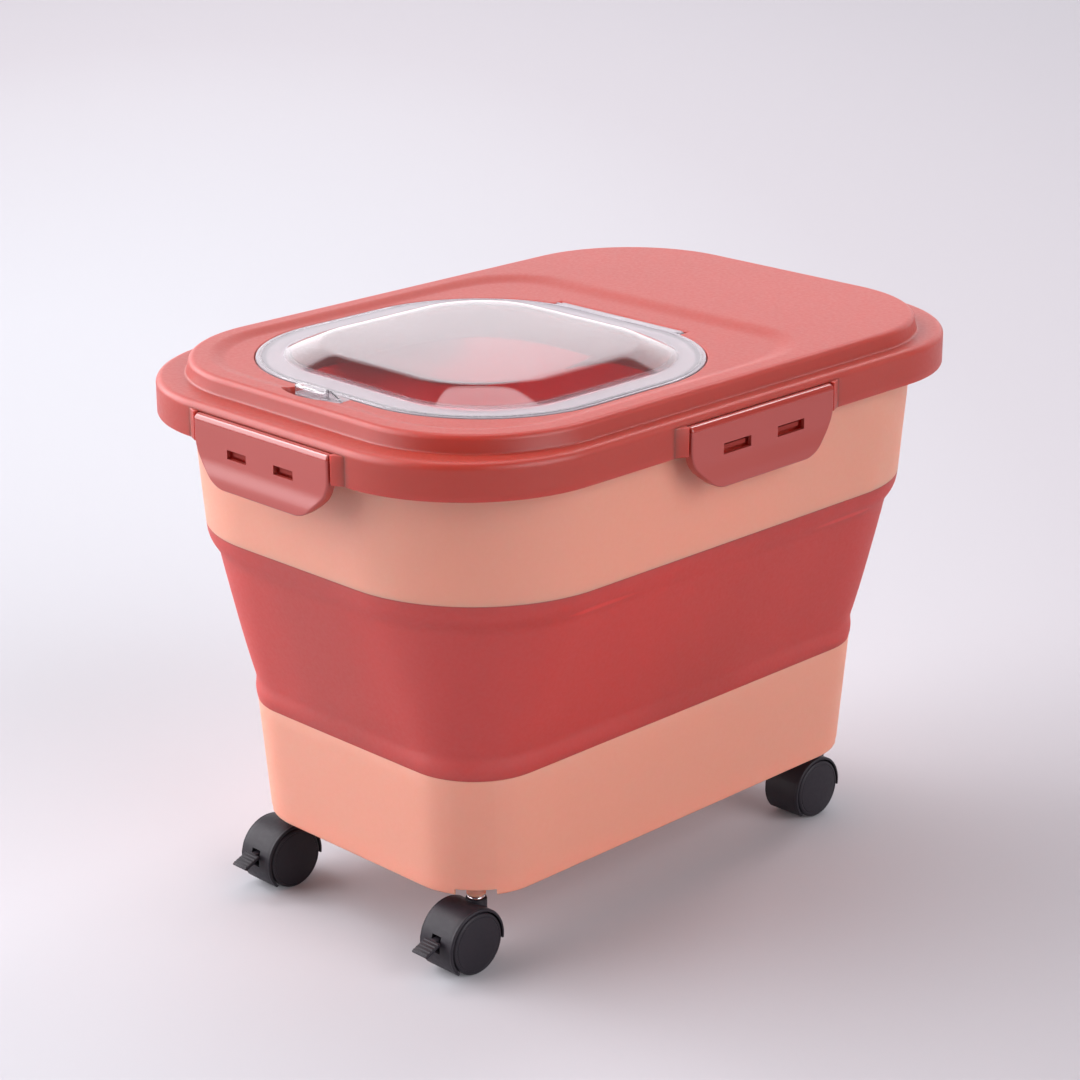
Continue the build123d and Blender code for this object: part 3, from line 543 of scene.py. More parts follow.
def build_band():
    """Band as one closed loop of rings; its swells are fuller round the corners."""
    turns = np.radians(np.arange(0, 360, 1.25))
    heights, grows = np.array(BAND_PROFILE)[::-1].T
    half_x, half_y, _ = FRAME_FOOT
    round_corner = np.sin(2 * np.arctan2(np.sin(turns) / half_y, np.cos(turns) / half_x)) ** 2

    def at(height, grow):
        share = (height - TUB_TOP) / (BAND_TOP - TUB_TOP)
        full = grow * (0.35 + 0.65 * smooth(round_corner * 1.4))
        return ring(cast(between(TUB_HEAD, FRAME_FOOT, share, full), turns), height)

    middle = np.arange(120.2, 231.0, 1.1)
    levels = np.concatenate([[TUB_TOP, TUB_TOP + 0.2], middle, [BAND_TOP - 0.2, BAND_TOP]])
    softness = 2.2
    weights = np.exp(-0.5 * (np.subtract.outer(levels, levels) / softness) ** 2)
    soft = weights @ np.interp(levels, heights, grows) / weights.sum(axis=1)
    outer = [at(z, grow) for z, grow in zip(levels, soft)]
    inner = [at(z, grow - BAND_WALL) for z, grow in zip(levels[::-1], soft[::-1])]
    inner[0], inner[-1] = at(BAND_TOP, -BAND_WALL), at(TUB_TOP, -BAND_WALL)
    return make_piece("fold_band_soft", strip(outer + inner, loop=True), angle=60)


band = build_band()
band.data.materials.append(BAND)
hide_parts("fold_band")
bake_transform(band)

# Lid: skirt notched for the clips, ledge, raised plateau, soft pan, finger recess and door seat

DOOR_SIZE, DOOR_GAP = (118.6, 112.6, 84.0), 0.7
# Hinge housing in the lid and hinge leaf of the door: half width, back edge and inner corners
HOUSING_X, HOUSING_Y, HOUSING_INNER = 52.6, 53.7, 45.65
LEAF_X, LEAF_Y, LEAF_INNER = 49.4, 52.5, 45.2
HINGE_HALF = 20.0
HOUSING_FLOOR = 318.9
LID = rounded(*LID_HEAD)
PLATEAU_PLAN = rounded(143.6, 207.9, 83.0)
OPENING = rounded(99.0, 92.0, 59.0, DOOR_Y)
DOOR_HOLE = union(
    rounded(*(size + DOOR_GAP for size in DOOR_SIZE), DOOR_Y),
    rounded(HOUSING_X, HINGE_HALF, 0.6, HOUSING_Y - HINGE_HALF),
)
PAN_HALF, PAN_FRONT, PAN_BACK = 131.7, -196.0, 90.0
LID_ROUND, PLATEAU_ROUND, PLATEAU_FILLET = 4.0, 3.6, 1.3
RECESS_X, RECESS_Y, RECESS_DEPTH = -3.5, -188.0, 6.5


def pan_depth(x, y):
    """Depth of the soft pan below the top of the lid."""
    middle, half = (PAN_FRONT + PAN_BACK) / 2, (PAN_BACK - PAN_FRONT) / 2
    corner = np.where(y < middle, 72.0, 46.0)
    width = 11.0 + 6.0 * smooth((y - 20.0) / 50.0)
    return (PLATEAU - PAN) * smooth(-rounded(PAN_HALF, half, corner, middle)(x, y) / width)


def recess_depth(x, y):
    """Depth of the finger recess below the pan."""
    from_middle = np.hypot((x - RECESS_X) / 22.5, (y - RECESS_Y) / 10.0)
    return RECESS_DEPTH * np.power(np.clip(1 - from_middle ** 3.4, 0, 1), 0.6)


def lid_top(x, y):
    """Height of the lid's top inside the edge of the plateau."""
    return PLATEAU - pan_depth(x, y) - recess_depth(x, y)


def seat_height(x, y):
    """Height of the door's seat, with the deeper floor of the hinge housing at its back."""
    return np.where((np.abs(x) < HOUSING_X + 0.05) & (y > 44.3), HOUSING_FLOOR, SEAT)


def corner_turns(half, edges, step):
    """Angles from the middle of the door at corners (half, edge), and a step to each side of them."""
    turns = [math.atan2(y - DOOR_Y, x) for x in (half, -half) for y in edges]
    return [turn + offset for turn in turns for offset in (-step, 0, step)]


def lid_turns():
    """Angles of the lid's rays from the middle of the door, and which of them meet a clip notch."""
    turns = list(np.radians(np.arange(-180, 180, 1.0))) + list(np.radians(np.arange(-103, -77, 0.34)))
    turns += corner_turns(HOUSING_X, (HOUSING_Y, HOUSING_INNER), 0.002)
    spans = []
    for side, (_, reach, half, _) in SIDES.items():
        ends = [to_side(side, end * (half + CLIP_GAP), reach, 0.0) for end in (-1, 1)]
        spans.append([math.atan2(point[1] - DOOR_Y, point[0]) for point in ends])
        turns += [turn + step for turn in spans[-1] for step in (-0.0003, 0.0003)]
    turns = np.unique(np.round(turns, 6))
    cut = np.zeros(len(turns), bool)
    for first, last in spans:
        span = (last - first) % (2 * math.pi)
        cut |= (turns - first) % (2 * math.pi) < span
    return turns, cut


def build_lid():
    """Lid and collar as one closed loop of rings, and two tapered bosses for each clip."""
    turns, cut = lid_turns()

    def at(shape, grow, height):
        level = np.where(cut, max(height, CLIP_HEAD), height)
        return ring(cast(shape, turns, DOOR_Y, grow), level)

    def between_rings(outer, inner, shares, height):
        plans = [outer + (inner - outer) * share for share in shares]
        return [ring(plan, height(plan[:, 0], plan[:, 1])) for plan in plans]

    rings = [at(LID, -2.1, SKIRT), at(LID, -0.8, SKIRT), at(LID, -0.25, SKIRT + 0.2)]
    rings += [at(LID, 0.0, SKIRT + 0.8)]
    rings += [at(LID, 0.0, z) for z in (302.0, 308.0, 313.5)]
    for a in arc(0, math.pi / 2, 8):
        rings.append(at(LID, LID_ROUND * (math.cos(a) - 1), FLANGE + LID_ROUND * (math.sin(a) - 1)))
    rings += [at(LID, -5.5, FLANGE), at(PLATEAU_PLAN, 2.2, FLANGE)]
    for a in arc(0, math.pi / 2, 4):
        out, rise = PLATEAU_FILLET * (1 - math.sin(a)), PLATEAU_FILLET * (1 - math.cos(a))
        rings.append(at(PLATEAU_PLAN, out, FLANGE + rise))
    for a in arc(0, math.radians(88), 8):
        out, rise = PLATEAU_ROUND * math.cos(a), PLATEAU_ROUND * (math.sin(a) - 1)
        rings.append(at(PLATEAU_PLAN, -4.9 + out, PLATEAU + rise))
    outer = cast(PLATEAU_PLAN, turns, DOOR_Y, -5.4)
    inner = cast(DOOR_HOLE, turns, DOOR_Y, 0.8)
    rings += between_rings(outer, inner, np.linspace(0, 1, 56), lid_top)
    edge = rings[-1][:, 2]
    for a in arc(0, math.pi / 2, 3)[1:]:
        plan = cast(DOOR_HOLE, turns, DOOR_Y, 0.8 - 0.8 * math.sin(a))
        rings.append(ring(plan, edge - 0.8 + 0.8 * math.cos(a)))
    hole = cast(DOOR_HOLE, turns, DOOR_Y)
    seat_edge = cast(OPENING, turns, DOOR_Y, 0.8)
    rings += between_rings(hole, seat_edge, np.linspace(0, 1, 18), seat_height)
    for a in arc(0, math.pi / 2, 3)[1:]:
        rings.append(at(OPENING, 0.8 - 0.8 * math.sin(a), SEAT - 0.8 + 0.8 * math.cos(a)))
    collar = [(0.0, 316.0), (0.0, 310.0), (0.0, 305.4), (0.5, 304.9), (1.7, 304.9), (2.2, 305.4)]
    collar.append((2.2, 316.0))
    rings += [ring(cast(OPENING, turns, DOOR_Y, grow), z) for grow, z in collar]
    under_hole = cast(DOOR_HOLE, turns, DOOR_Y, 2.4)
    seat_back = cast(OPENING, turns, DOOR_Y, 2.2)
    under_edge = cast(PLATEAU_PLAN, turns, DOOR_Y, -6.0)
    shares = np.linspace(0, 1, 8)
    rings += between_rings(seat_back, under_hole, shares, lambda x, y: seat_height(x, y) - WALL)
    shares = np.linspace(0.02, 1, 14)
    rings += between_rings(under_hole, under_edge, shares, lambda x, y: lid_top(x, y) - WALL)
    under = FLANGE - WALL
    rings += [at(PLATEAU_PLAN, -3.8, 324.4), at(PLATEAU_PLAN, -2.6, under), at(LID, -4.2, under)]
    rings += [at(LID, -2.4, z) for z in (314.4, 306.0, SKIRT + 0.3)]
    surfaces = [strip(rings, loop=True)]
    for side, (_, reach, half, _) in SIDES.items():
        for end in (-1, 1):
            near, far = half + CLIP_GAP, half + CLIP_GAP + 10.0
            plan = [(near, reach + 3.45), (far, reach - 0.9), (far, reach - 2.2), (near, reach - 2.2)]
            corners = [tuple(to_side(side, end * along, out, 0.0)[:2]) for along, out in plan]
            surfaces.append(prism(corners, SKIRT + 0.2, CLIP_HEAD + 0.4, bevel=0.7))
    return make_piece("lid_shell", *surfaces, angle=40)


dress(build_lid(), "lid", "terracotta_plastic", RED, "lid_panel", "lid_collar")

# Clear door: flange with a bead, low dome, hinge barrel and pull tab

DOOR_MAIN = rounded(*DOOR_SIZE, DOOR_Y)
DOOR_PLAN = union(DOOR_MAIN, rounded(LEAF_X, HINGE_HALF, 0.8, LEAF_Y - HINGE_HALF))
DOOR_FRONT, TAB_FRONT = DOOR_Y - DOOR_SIZE[1], -191.0
PIN_Y, PIN_Z = 49.5, 323.1


def dome_rise(inward):
    """Height of the dome above the flange, by the distance in from its foot."""
    x = np.maximum(inward - 0.6, 0)
    slope = 0.42 * x - 0.0022 * x * x
    crown = 8.6 + 1.6 * (1 - (1 - np.clip((inward - 22) / 80.0, 0, 1)) ** 2)
    turn = 0.45
    joined = -turn * np.log(np.exp(-slope / turn) + np.exp(-crown / turn))
    return np.where(slope < crown + 3, joined, crown)


def dome_rings(turns, drop):
    """Rings from the foot of the dome to its middle, lowered by a drop for the inner face."""
    rings = []
    slope = [np.linspace(0, 3, 5), np.linspace(4.5, 21, 10), np.linspace(22, 30, 8)]
    for inward in np.concatenate([*slope, np.linspace(33, 96, 10)]):
        share, past = min(inward / 25.0, 1.0), max(inward - 25.0, 0.0)
        half_x = 102 - 25 * share - past
        half_y = max(95 - 20 * share - past * 75.0 / 77.0, 1.0)
        corner = max(62 - 20 * share - past * 42.0 / 77.0, 0.4)
        shape = rounded(half_x, half_y, min(corner, half_y - 0.05), DOOR_Y)
        rings.append(ring(cast(shape, turns, DOOR_Y), DOOR_TOP + float(dome_rise(inward)) - drop))
    return rings


def tab_surfaces():
    """Pull tab: a foot plate in front of the flange, a hollow lip with round corners and a rib."""
    turns = np.radians(np.arange(0, 360, 4.0))

    def at(shape, middle, grow, height):
        plan = cast(shape, turns, middle[1], grow)
        plan[:, 0] += middle[0]
        return ring(plan, height)

    foot_y, lip_y = (TAB_FRONT + DOOR_FRONT) / 2 - 0.05, TAB_FRONT + 3.6
    plate, middle, top = (1.0, foot_y), (-4.0, lip_y), DOOR_TOP + 5.0
    foot = rounded(17.0, 6.6, 2.6, foot_y)
    lip, hollow = rounded(12.0, 3.5, 2.6, lip_y), rounded(10.7, 2.2, 1.3, lip_y)
    rings = [at(foot, plate, -0.5, DOOR_UNDER + 0.2), at(foot, plate, 0.0, DOOR_UNDER + 0.5)]
    rings += [at(foot, plate, 0.0, DOOR_TOP - 0.5), at(foot, plate, -0.4, DOOR_TOP - 0.1)]
    surfaces = [strip(rings, low_cap=True, high_cap=True)]
    rings = [at(hollow, middle, -1.0, top - 1.3), at(hollow, middle, 0.0, top - 1.9)]
    rings += [at(hollow, middle, 0.0, DOOR_TOP), at(lip, middle, 0.0, DOOR_TOP)]
    rings += [at(lip, middle, 0.0, top - 1.2)]
    for a in arc(0, math.pi / 2, 5):
        rings.append(at(lip, middle, -1.2 + 1.2 * math.cos(a), top - 1.2 + 1.2 * math.sin(a)))
    surfaces.append(strip(rings, low_cap=True, high_cap=True))
    rib = [(5.0, DOOR_TOP - 0.1), (5.0, top - 0.8), (8.2, top - 1.0), (17.6, DOOR_TOP - 0.1)]
    surfaces.append(prism(rib, TAB_FRONT + 5.4, TAB_FRONT + 7.0, axis="y", bevel=0.35, segments=2))
    return surfaces


def build_door():
    """Flange and dome as one closed loop of rings, hinge barrel and pull tab."""
    turns = list(np.radians(np.arange(-180, 180, 1.25)))
    turns += corner_turns(LEAF_X, (LEAF_Y, LEAF_INNER), 0.005)
    turns = np.unique(np.round(turns, 6))

    def at(shape, grow, height):
        return ring(cast(shape, turns, DOOR_Y, grow), height)

    rings = [at(DOOR_PLAN, -1.6, DOOR_UNDER), at(DOOR_PLAN, -0.4, DOOR_UNDER + 0.05)]
    rings += [at(DOOR_PLAN, 0.0, DOOR_UNDER + 0.45), at(DOOR_PLAN, 0.0, DOOR_TOP - 0.5)]
    rings += [at(DOOR_PLAN, -0.15, DOOR_TOP - 0.15), at(DOOR_PLAN, -0.5, DOOR_TOP)]
    rings += [at(DOOR_MAIN, -1.9, DOOR_TOP), at(DOOR_MAIN, -2.2, DOOR_TOP + 0.25)]
    rings += [at(DOOR_MAIN, -3.2, DOOR_TOP + 0.25), at(DOOR_MAIN, -3.6, DOOR_TOP)]
    foot = cast(rounded(103.5, 96.5, 63.5, DOOR_Y), turns, DOOR_Y)
    edge = cast(DOOR_MAIN, turns, DOOR_Y, -4.2)
    rings += [ring(edge + (foot - edge) * s, DOOR_TOP) for s in (0.0, 0.3, 0.6, 0.85, 1.0)]
    rings += dome_rings(turns, 0.0)
    count = len(rings)
    inner_foot = cast(rounded(102.5, 95.5, 62.5, DOOR_Y), turns, DOOR_Y)
    rings += dome_rings(turns, 1.7)[::-1]
    rings += [ring(inner_foot + (edge - inner_foot) * s, DOOR_UNDER) for s in (0.0, 0.5, 1.0)]
    points, faces = strip(rings, loop=True)
    size = len(turns)
    crown = range((count - 1) * size, (count + 1) * size)
    faces = [face for face in faces if not all(v in crown for v in face)]
    faces.append(tuple(range((count - 1) * size, count * size)))
    faces.append(tuple(reversed(range(count * size, (count + 1) * size))))
    barrel = [(1.25, -52.0), (2.6, -52.0), (3.0, -51.6), (3.0, 51.6), (2.6, 52.0), (1.25, 52.0)]
    surfaces = [(points, faces), lathe(barrel, (0, PIN_Y, PIN_Z), axis="x", steps=40)]
    return make_piece("door_cover", *surfaces, *tab_surfaces(), angle=30)


dress(build_door(), "door", "clear_plastic", CLEAR, "door_panel")

# Clips: rolled hinge, flared plate with two slots, tapered lower corners and end walls

CLIP_FOOT, CLIP_WALL, BARREL_R, STUB_R = 275.5, 2.2, 3.4, 1.25
SLOT_Z, FLARE_TOP = 296.6, 291.8
CORNER_R = 20.0


def clip_outline(half):
    """Half width of a clip by height: straight ends, tapers and rounded corners."""
    head = (half, 300.0)
    knee, toe = (half, CLIP_FOOT + 17.0), (half - 19.0, CLIP_FOOT)
    points = [head]
    for before, corner, after in ((head, knee, toe), (knee, toe, (0.0, CLIP_FOOT))):
        a, b, c = (np.array(p) for p in (before, corner, after))
        u, v = (a - b) / np.linalg.norm(a - b), (c - b) / np.linalg.norm(c - b)
        reach = CORNER_R * math.tan((math.pi - math.acos(float(u @ v))) / 2)
        start, stop = b + u * reach, b + v * reach
        points += [(1 - t) ** 2 * start + 2 * t * (1 - t) * b + t * t * stop for t in np.linspace(0, 1, 12)]
    widths, heights = np.array([tuple(p) for p in points]).T
    order = np.argsort(heights, kind="stable")
    return lambda z: np.interp(z, heights[order], widths[order])


def build_clip(side):
    """Plate with slots and thick end walls below a rolled hinge, as one bent grid, and two stubs."""
    _, reach, half, (slot_length, slot_height, pitch) = SIDES[side]
    axis_out = reach + 0.9
    slot_low, slot_high = SLOT_Z - slot_height / 2, SLOT_Z + slot_height / 2
    foot_rises = [0, 0.06, 0.2, 0.45, 0.8, 1.3, 2.1, 3.2, 4.6, 6.0]
    levels = [CLIP_FOOT + rise for rise in foot_rises] + list(np.arange(282.0, 293.4, 0.8))
    levels += [slot_low, SLOT_Z, slot_high, 302.0, 306.0, CLIP_AXIS]
    levels = np.unique(levels)
    flare = 2.2 * smooth((FLARE_TOP - levels) / 13.0)
    turn = np.radians(np.arange(12, 252, 12.0))
    front_out = np.concatenate([axis_out + BARREL_R + flare, axis_out + BARREL_R * np.cos(turn)])
    front_z = np.concatenate([levels, CLIP_AXIS + BARREL_R * np.sin(turn)])
    slope = np.gradient(flare, levels)
    in_out = np.concatenate([-1 / np.hypot(1, slope), -np.cos(turn)])
    in_z = np.concatenate([slope / np.hypot(1, slope), -np.sin(turn)])
    on_plate = np.arange(len(front_z)) < len(levels)
    widths = np.where(on_plate, clip_outline(half)(front_z), half)
    tilt = np.abs(np.gradient(widths)) / np.maximum(np.abs(np.gradient(front_z)), 1e-3)
    lean = 1 / np.hypot(1, np.where(on_plate, tilt, 0))
    ends = [0, 0.12, 0.35, 0.65, 1.0, 1.5, 1.85, 2.6]
    near, far = (pitch - slot_length) / 2, (pitch + slot_length) / 2
    fixed = [0.0, near / 2, near, (near + far) / 2, far, far + 0.6]
    columns = [np.full_like(widths, value) for value in fixed]
    columns += [fixed[-1] + (widths - ends[-1] - fixed[-1]) * share for share in (0.25, 0.5, 0.75)]
    columns += [widths - step for step in reversed(ends)]
    right = np.stack(columns, axis=1)
    along = np.concatenate([-right[:, :0:-1], right], axis=1)
    from_end = (widths[:, None] - np.abs(along)) * lean[:, None]
    from_foot = np.where(on_plate, front_z - CLIP_FOOT, 9.0)[:, None]
    edge = np.clip(np.minimum(from_end, from_foot), 0, 1)
    drop = 1 - np.sqrt(np.maximum(1 - (1 - edge) ** 2, 0))
    depth = np.where(on_plate, np.interp(front_z, [CLIP_FOOT, FLARE_TOP], [1.2, 3.4]), 0)
    wall = depth[:, None] * (1 - smooth((from_end - 1.5) / 0.35))
    wall *= front_z[:, None] < CLIP_AXIS - 1
    limit = np.where(on_plate, CLIP_WALL, BARREL_R - 1.3)[:, None]

    def surface(offset):
        out = front_out[:, None] + in_out[:, None] * offset
        height = front_z[:, None] + in_z[:, None] * offset
        return to_side(side, along, out, height)

    middle = right.shape[1] - 1
    slot_rows = np.flatnonzero((levels >= slot_low - 1e-6) & (levels < slot_high - 1e-6))
    slot_cols = (middle - 4, middle - 3, middle + 2, middle + 3)
    holes = [(row, col) for row in slot_rows for col in slot_cols]
    front, back = surface(np.minimum(drop, 0.9)), surface(limit + wall)
    surfaces = [thick_grid(front, back, holes)]
    spin = np.linspace(0, 2 * np.pi, 24, endpoint=False)
    for end in (-1, 1):
        rings = []
        for place, radius in ((half - 5, STUB_R), (half + 3.6, STUB_R), (half + 4, 0.9)):
            out, height = axis_out + radius * np.cos(spin), CLIP_AXIS + radius * np.sin(spin)
            rings.append(to_side(side, np.full_like(spin, end * place), out, height))
        surfaces.append(strip(rings, low_cap=True, high_cap=True))
    return make_piece(f"clip_{side}_shell", *surfaces, angle=38)


for side in SIDES:
    dress(build_clip(side), f"{side}_clip", "terracotta_plastic", CLIP_RED, f"clip_{side}")

# Casters: drum hood with a neck, twin wheels, bright grip ring and ribbed brake pedal

TRAIL, WHEEL_R, DRUM_R, DRUM_HALF = 11.4, 18.5, 20.9, 13.2
WEB_R, WEB_HALF = 20.0, 6.0


def drum_surfaces(spot, braked):
    """Thin fender over both wheels, with a window for the brake arm."""
    above, window, below = np.arange(-8, 157, 4.5), [157.5, 172, 186], np.arange(186, 223, 4.5)
    turns = np.radians(np.unique(np.concatenate([above, window, below, [223.4]])))
    halves = np.array([0, 2.2, 3.6, 6.0, 9.0, 11.2, 11.9, 12.2, 12.5, 12.85, 13.08, DRUM_HALF])
    across = np.concatenate([-halves[:0:-1], halves])
    from_end = DRUM_HALF - np.abs(across)
    round_off = 1.0 - np.sqrt(np.maximum(1 - (1 - np.clip(from_end, 0, 1)) ** 2, 0))
    groove = 0.22 * np.exp(-((from_end - 1.5) / 0.35) ** 2)
    outer_r = DRUM_R - np.minimum(round_off, 0.85) - groove

    def surface(radius):
        r = np.broadcast_to(radius, (len(turns), len(across)))
        cos, sin = np.cos(turns)[:, None], np.sin(turns)[:, None]
        x = np.broadcast_to(spot[0] + across, r.shape)
        return np.stack([x, spot[1] - TRAIL + r * cos, WHEEL_R + r * sin], axis=-1)

    holes = []
    if braked:
        rows = np.flatnonzero((turns >= math.radians(157.4)) & (turns < math.radians(185.9)))
        middle = len(halves) - 1
        holes = [(row, col) for row in rows for col in range(middle - 2, middle + 2)]
    return thick_grid(surface(outer_r), surface(np.full_like(across, DRUM_R - 1.6)), holes)


def web_surface(spot, braked):
    """Upright web between the wheels, cut away below and behind the brake window."""
    def rim(degrees):
        return [(WEB_R * math.cos(a), WEB_R * math.sin(a)) for a in np.radians(degrees)]

    points = rim(np.arange(-8, 156, 6.0))
    if braked:
        points += [(-18.2, 8.3), (-13.0, 8.3), (-13.0, -2.5), (-19.2, -2.5)]
    points += rim([196, 204, 212, 220])
    points += [(-13.0, -14.8), (0.0, -14.8), (10.8, -3.0)]
    outline = [(spot[1] - TRAIL + y, WHEEL_R + z) for y, z in points]
    return prism(outline, spot[0] - WEB_HALF, spot[0] + WEB_HALF, axis="x", bevel=0.3, segments=2)


def build_hood(place, spot):
    """Drum, web and the neck round the stem."""
    braked = place.startswith("front")
    neck = [(0.5, 24.0), (6.2, 24.0), (6.2, 38.9), (6.0, 39.5), (5.5, 39.8), (3.2, 39.8), (3.2, 38.0)]
    neck.append((0.5, 38.0))
    surfaces = [drum_surfaces(spot, braked), web_surface(spot, braked), lathe(neck, (*spot, 0))]
    return make_piece(f"caster_hood_{place}_shell", *surfaces)


def build_wheel(place, spot, hand, end):
    """Wheel with a low domed face, a groove and a rounded tread."""
    profile = [(0.4, 6.4), (16.6, 6.4), (17.6, 6.7), (18.2, 7.2), (18.5, 8.0), (18.5, 11.9), (18.3, 12.7)]
    profile += [(17.8, 13.3), (17.0, 13.6), (16.5, 13.62), (16.3, 13.45), (16.0, 13.45), (15.8, 13.68)]
    profile += [(12.0, 14.15), (7.0, 14.4), (3.0, 14.48), (0.3, 14.5)]
    centre = (spot[0], spot[1] - TRAIL, WHEEL_R)
    surface = lathe([(radius, end * along) for radius, along in profile], centre, axis="x", steps=72)
    return make_piece(f"caster_wheel_{hand}_{place}_disc", surface)


def build_grip(place, spot):
    """Bright grooved ring round the stem, below the tub."""
    profile = [(3.1, 40.1), (4.8, 40.1), (5.1, 40.35), (4.8, 40.65), (4.75, 40.9), (5.0, 41.2), (5.0, 41.5)]
    profile += [(4.8, 41.7), (3.1, 41.7)]
    return make_piece(f"caster_grip_{place}", lathe(profile, (*spot, 0), steps=40))


def build_lever(place, spot):
    """Ribbed pedal on an arm that goes through the window."""
    axis_y, axis_z = spot[1] - TRAIL - 9.5, 23.5
    root, tip = spot[1] - TRAIL - 22.3, spot[1] - TRAIL - 32.9
    slant = [(root, 1.1), (tip, -3.4), (tip - 0.3, -4.4), (tip + 1.0, -5.2), (root, -0.9)]
    arm = [(axis_y, 1.0), (root + 0.5, 1.0), (root - 2.5, -0.4), (root - 5.5, -4.2), (root - 4.6, -4.6)]
    arm += [(root + 0.5, -3.6), (root + 3.0, -1.2), (axis_y, -1.2)]
    slant, arm = ([(y, axis_z + rise) for y, rise in outline] for outline in (slant, arm))
    surfaces = [
        prism(slant, spot[0] - 6.0, spot[0] + 6.0, axis="x", bevel=0.35),
        prism(arm, spot[0] - 2.2, spot[0] + 2.2, axis="x", bevel=0.3),
        lathe([(0.3, -4.0), (2.1, -4.0), (2.3, -3.8), (2.3, 3.8), (2.1, 4.0), (0.3, 4.0)],
              (spot[0], axis_y, axis_z), axis="x", steps=28),
    ]
    for k in range(5):
        share = (k + 0.7) / 5.2
        y, z = root + (tip - root) * share, axis_z + 1.1 - 4.5 * share
        rib = [(y + 0.55, z + 0.15), (y - 0.1, z + 0.55), (y - 0.55, z - 0.35), (y + 0.3, z - 0.6)]
        surfaces.append(prism(rib, spot[0] - 5.7, spot[0] + 5.7, axis="x", bevel=0.1, segments=1))
    return make_piece(f"brake_lever_{place}_pedal", *surfaces)


for place, spot in SPOTS.items():
    dress(build_hood(place, spot), f"caster_{place}", "black_nylon", NYLON, f"caster_hood_{place}")
    for hand, end in (("left", -1), ("right", 1)):
        wheel = build_wheel(place, spot, hand, end)
        dress(wheel, f"wheels_{place}", "black_nylon", NYLON, f"caster_wheel_{hand}_{place}")
    dress(build_grip(place, spot), "tub", "chrome_ring", CHROME, f"caster_ring_{place}")
    if place.startswith("front"):
        lever = build_lever(place, spot)
        dress(lever, f"brake_{place}", "black_nylon", NYLON, f"brake_lever_{place}")

# Studio: pale floor, soft light all in the world, camera at the photograph's angle

# Walls of light behind the object: azimuth, half width and top in degrees, and level
WALLS = [(135, 60, 36, 1.36), (172, 26, 34, 0.40)]
WALL_SOFT, TOP_SOFT = 12, 1.5
# Round boxes of light: azimuth, elevation, inner and outer radius in degrees, and level
BOXES = [
    (217, 19, 24, 48, 4.7), (10, 25, 14, 32, 4.2), (135, 68.5, 17.5, 18.5, 2.4),
    (97, 47, 6, 9, 8.5), (194, 45, 5, 9, 8.0),
]
FILL_LEVEL = 0.10
FLOOR_RADIUS = 14.0


def direction(azimuth, elevation):
    """Unit vector toward an azimuth and an elevation in degrees."""
    a, e = math.radians(azimuth), math.radians(elevation)
    return (math.cos(a) * math.cos(e), math.sin(a) * math.cos(e), math.sin(e))


def build_world():
    """Walls of light behind the object, soft boxes left, right and above it, and a plain backdrop."""
    world = bpy.data.worlds.new("studio")
    world.use_nodes = True
    bpy.context.scene.world = world
    nodes, links = world.node_tree.nodes, world.node_tree.links
    coords = nodes.new("ShaderNodeTexCoord")

    def math_node(kind, first, second=None):
        node = nodes.new("ShaderNodeMath")
        node.operation = kind
        for socket, value in zip(node.inputs, (first, second)):
            if value is None:
                continue
            if isinstance(value, (int, float)):
                socket.default_value = value
            else:
                links.new(value, socket)
        return node.outputs["Value"]

    def toward(target):
        dot = nodes.new("ShaderNodeVectorMath")
        dot.operation = "DOT_PRODUCT"
        links.new(coords.outputs["Generated"], dot.inputs[0])
        dot.inputs[1].default_value = target
        return dot.outputs["Value"]

    def soft_step(value, low, high, top):
        step = nodes.new("ShaderNodeMapRange")
        step.interpolation_type = "SMOOTHSTEP"
        links.new(value, step.inputs["Value"])
        step.inputs["From Min"].default_value = low
        step.inputs["From Max"].default_value = high
        step.inputs["To Max"].default_value = top
        return step.outputs["Result"]

    height = toward((0, 0, 1))
    level = math_node("SUBTRACT", 1.0, math_node("MULTIPLY", height, height))
    flat = math_node("SQRT", math_node("MAXIMUM", level, 0.0001))
    total = FILL_LEVEL
    for turn, half, top, strength in WALLS:
        across = math_node("DIVIDE", toward(direction(turn, 0)), flat)
        near, far = (math.cos(math.radians(half + step)) for step in (-WALL_SOFT, WALL_SOFT))
        low, high = (math.sin(math.radians(top + step)) for step in (-TOP_SOFT, TOP_SOFT))
        sides, below = soft_step(across, far, near, 1.0), soft_step(height, high, low, strength)
        total = math_node("ADD", math_node("MULTIPLY", sides, below), total)
    for turn, rise, inner, outer, strength in BOXES:
        near, far = math.cos(math.radians(inner)), math.cos(math.radians(outer))
        total = math_node("ADD", soft_step(toward(direction(turn, rise)), far, near, strength), total)
    background = nodes["Background"]
    background.inputs["Color"].default_value = (0.985, 0.96, 1.0, 1)
    links.new(total, background.inputs["Strength"])
    seen = nodes.new("ShaderNodeBackground")
    seen.inputs["Color"].default_value = (0.76, 0.735, 0.785, 1)
    path = nodes.new("ShaderNodeLightPath")
    mix = nodes.new("ShaderNodeMixShader")
    links.new(path.outputs["Is Camera Ray"], mix.inputs["Fac"])
    links.new(background.outputs["Background"], mix.inputs[1])
    links.new(seen.outputs["Background"], mix.inputs[2])
    links.new(mix.outputs["Shader"], nodes["World Output"].inputs["Surface"])


build_world()


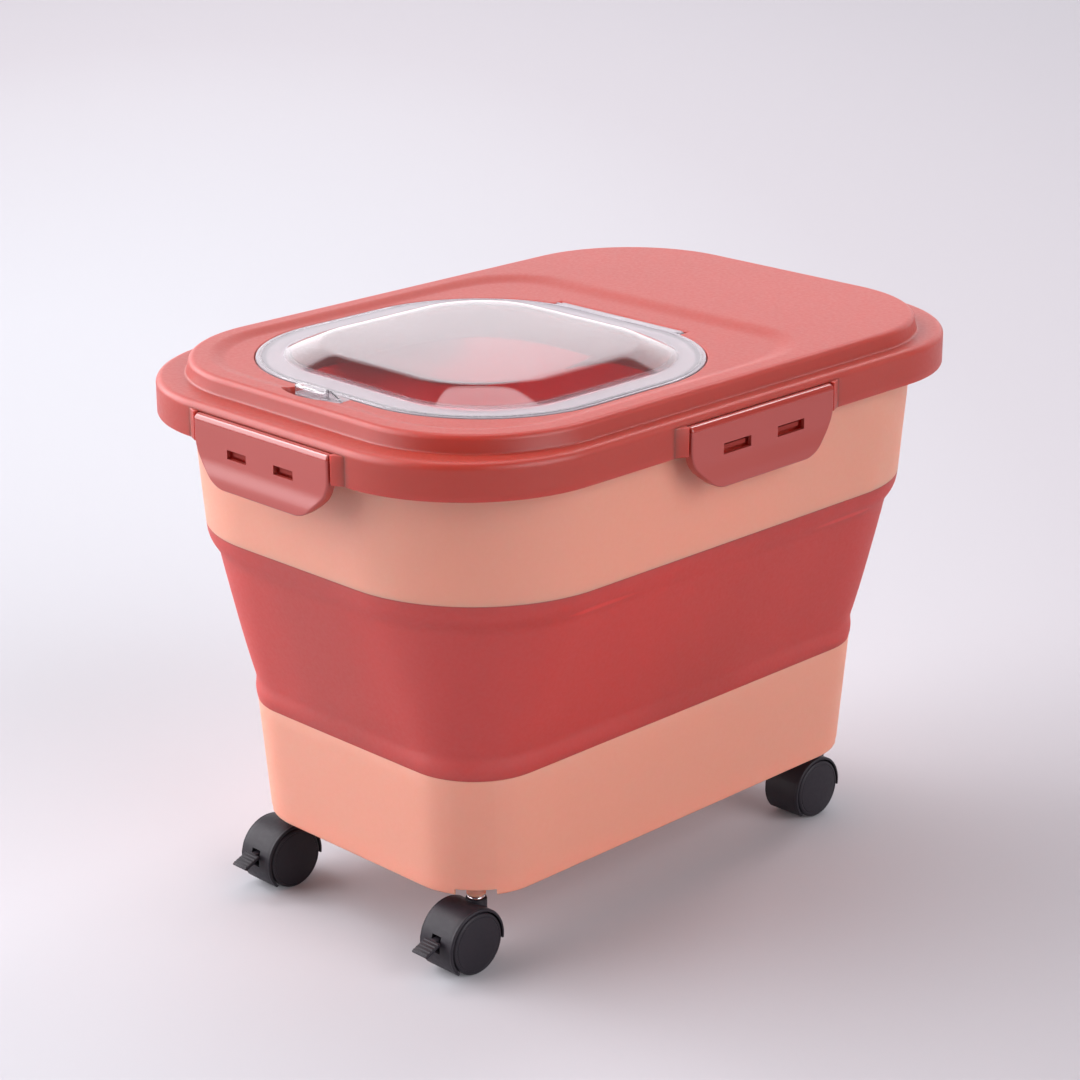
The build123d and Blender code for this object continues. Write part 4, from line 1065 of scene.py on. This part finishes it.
def build_floor():
    """Round floor with a painted pool of light: palest in an oval at the camera's left, darker further
    away.
    """
    bm = bmesh.new()
    bmesh.ops.create_circle(bm, cap_ends=True, radius=FLOOR_RADIUS, segments=96)
    mesh = bpy.data.meshes.new("studio_floor")
    bm.to_mesh(mesh)
    bm.free()
    floor = bpy.data.objects.new("studio_floor", mesh)
    bpy.context.scene.collection.objects.link(floor)
    mat, nodes, links, shader = node_material("studio_paper")
    painted_pool = nodes.new("ShaderNodeMapping")
    painted_pool.vector_type = "TEXTURE"
    painted_pool.inputs["Location"].default_value = (-0.600, -0.179, 0)
    painted_pool.inputs["Rotation"].default_value = (0, 0, math.radians(135))
    painted_pool.inputs["Scale"].default_value = (2.86, 1.0, 1.0)
    links.new(object_coords(nodes), painted_pool.inputs["Vector"])
    away = nodes.new("ShaderNodeVectorMath")
    away.operation = "LENGTH"
    links.new(painted_pool.outputs["Vector"], away.inputs[0])
    place = nodes.new("ShaderNodeMapRange")
    place.inputs["From Max"].default_value = 2.5
    links.new(away.outputs["Value"], place.inputs["Value"])
    # painted light: the floor colour is palest in the pool and darker further away, standing in for the
    # fall of light
    tint = ramp_between(nodes, links, place.outputs["Result"], [
        (0.0, (0.572, 0.580, 0.605)), (0.14, (0.565, 0.572, 0.598)), (0.32, (0.515, 0.504, 0.526)),
        (0.4, (0.482, 0.464, 0.486)), (0.64, (0.425, 0.410, 0.432)), (1.0, (0.360, 0.356, 0.374)),
    ])
    links.new(tint.outputs["Color"], shader.inputs["Base Color"])
    shader.inputs["Roughness"].default_value = 0.9
    shader.inputs["Specular IOR Level"].default_value = 0.1
    floor.data.materials.append(mat)


build_floor()


def build_camera():
    """Camera as fitted to the photograph."""
    back = Vector(direction(45.228 - 90, 19.194))
    roll = math.radians(-0.27)
    right = (-back).cross(Vector((0, 0, 1))).normalized()
    up = right.cross(-back)
    x_axis = math.cos(roll) * right + math.sin(roll) * up
    y_axis = -math.sin(roll) * right + math.cos(roll) * up
    data = bpy.data.cameras.new("photo_camera")
    data.sensor_fit = "HORIZONTAL"
    data.sensor_width = 36.0
    data.lens = 92.623
    camera = bpy.data.objects.new("photo_camera", data)
    bpy.context.scene.collection.objects.link(camera)
    turn = Matrix((x_axis, y_axis, back)).transposed().to_4x4()
    camera.matrix_world = Matrix.Translation(Vector((1.1131, -1.1221, 0.7474))) @ turn
    bpy.context.scene.camera = camera


build_camera()
bpy.context.scene.view_settings.view_transform = "Standard"
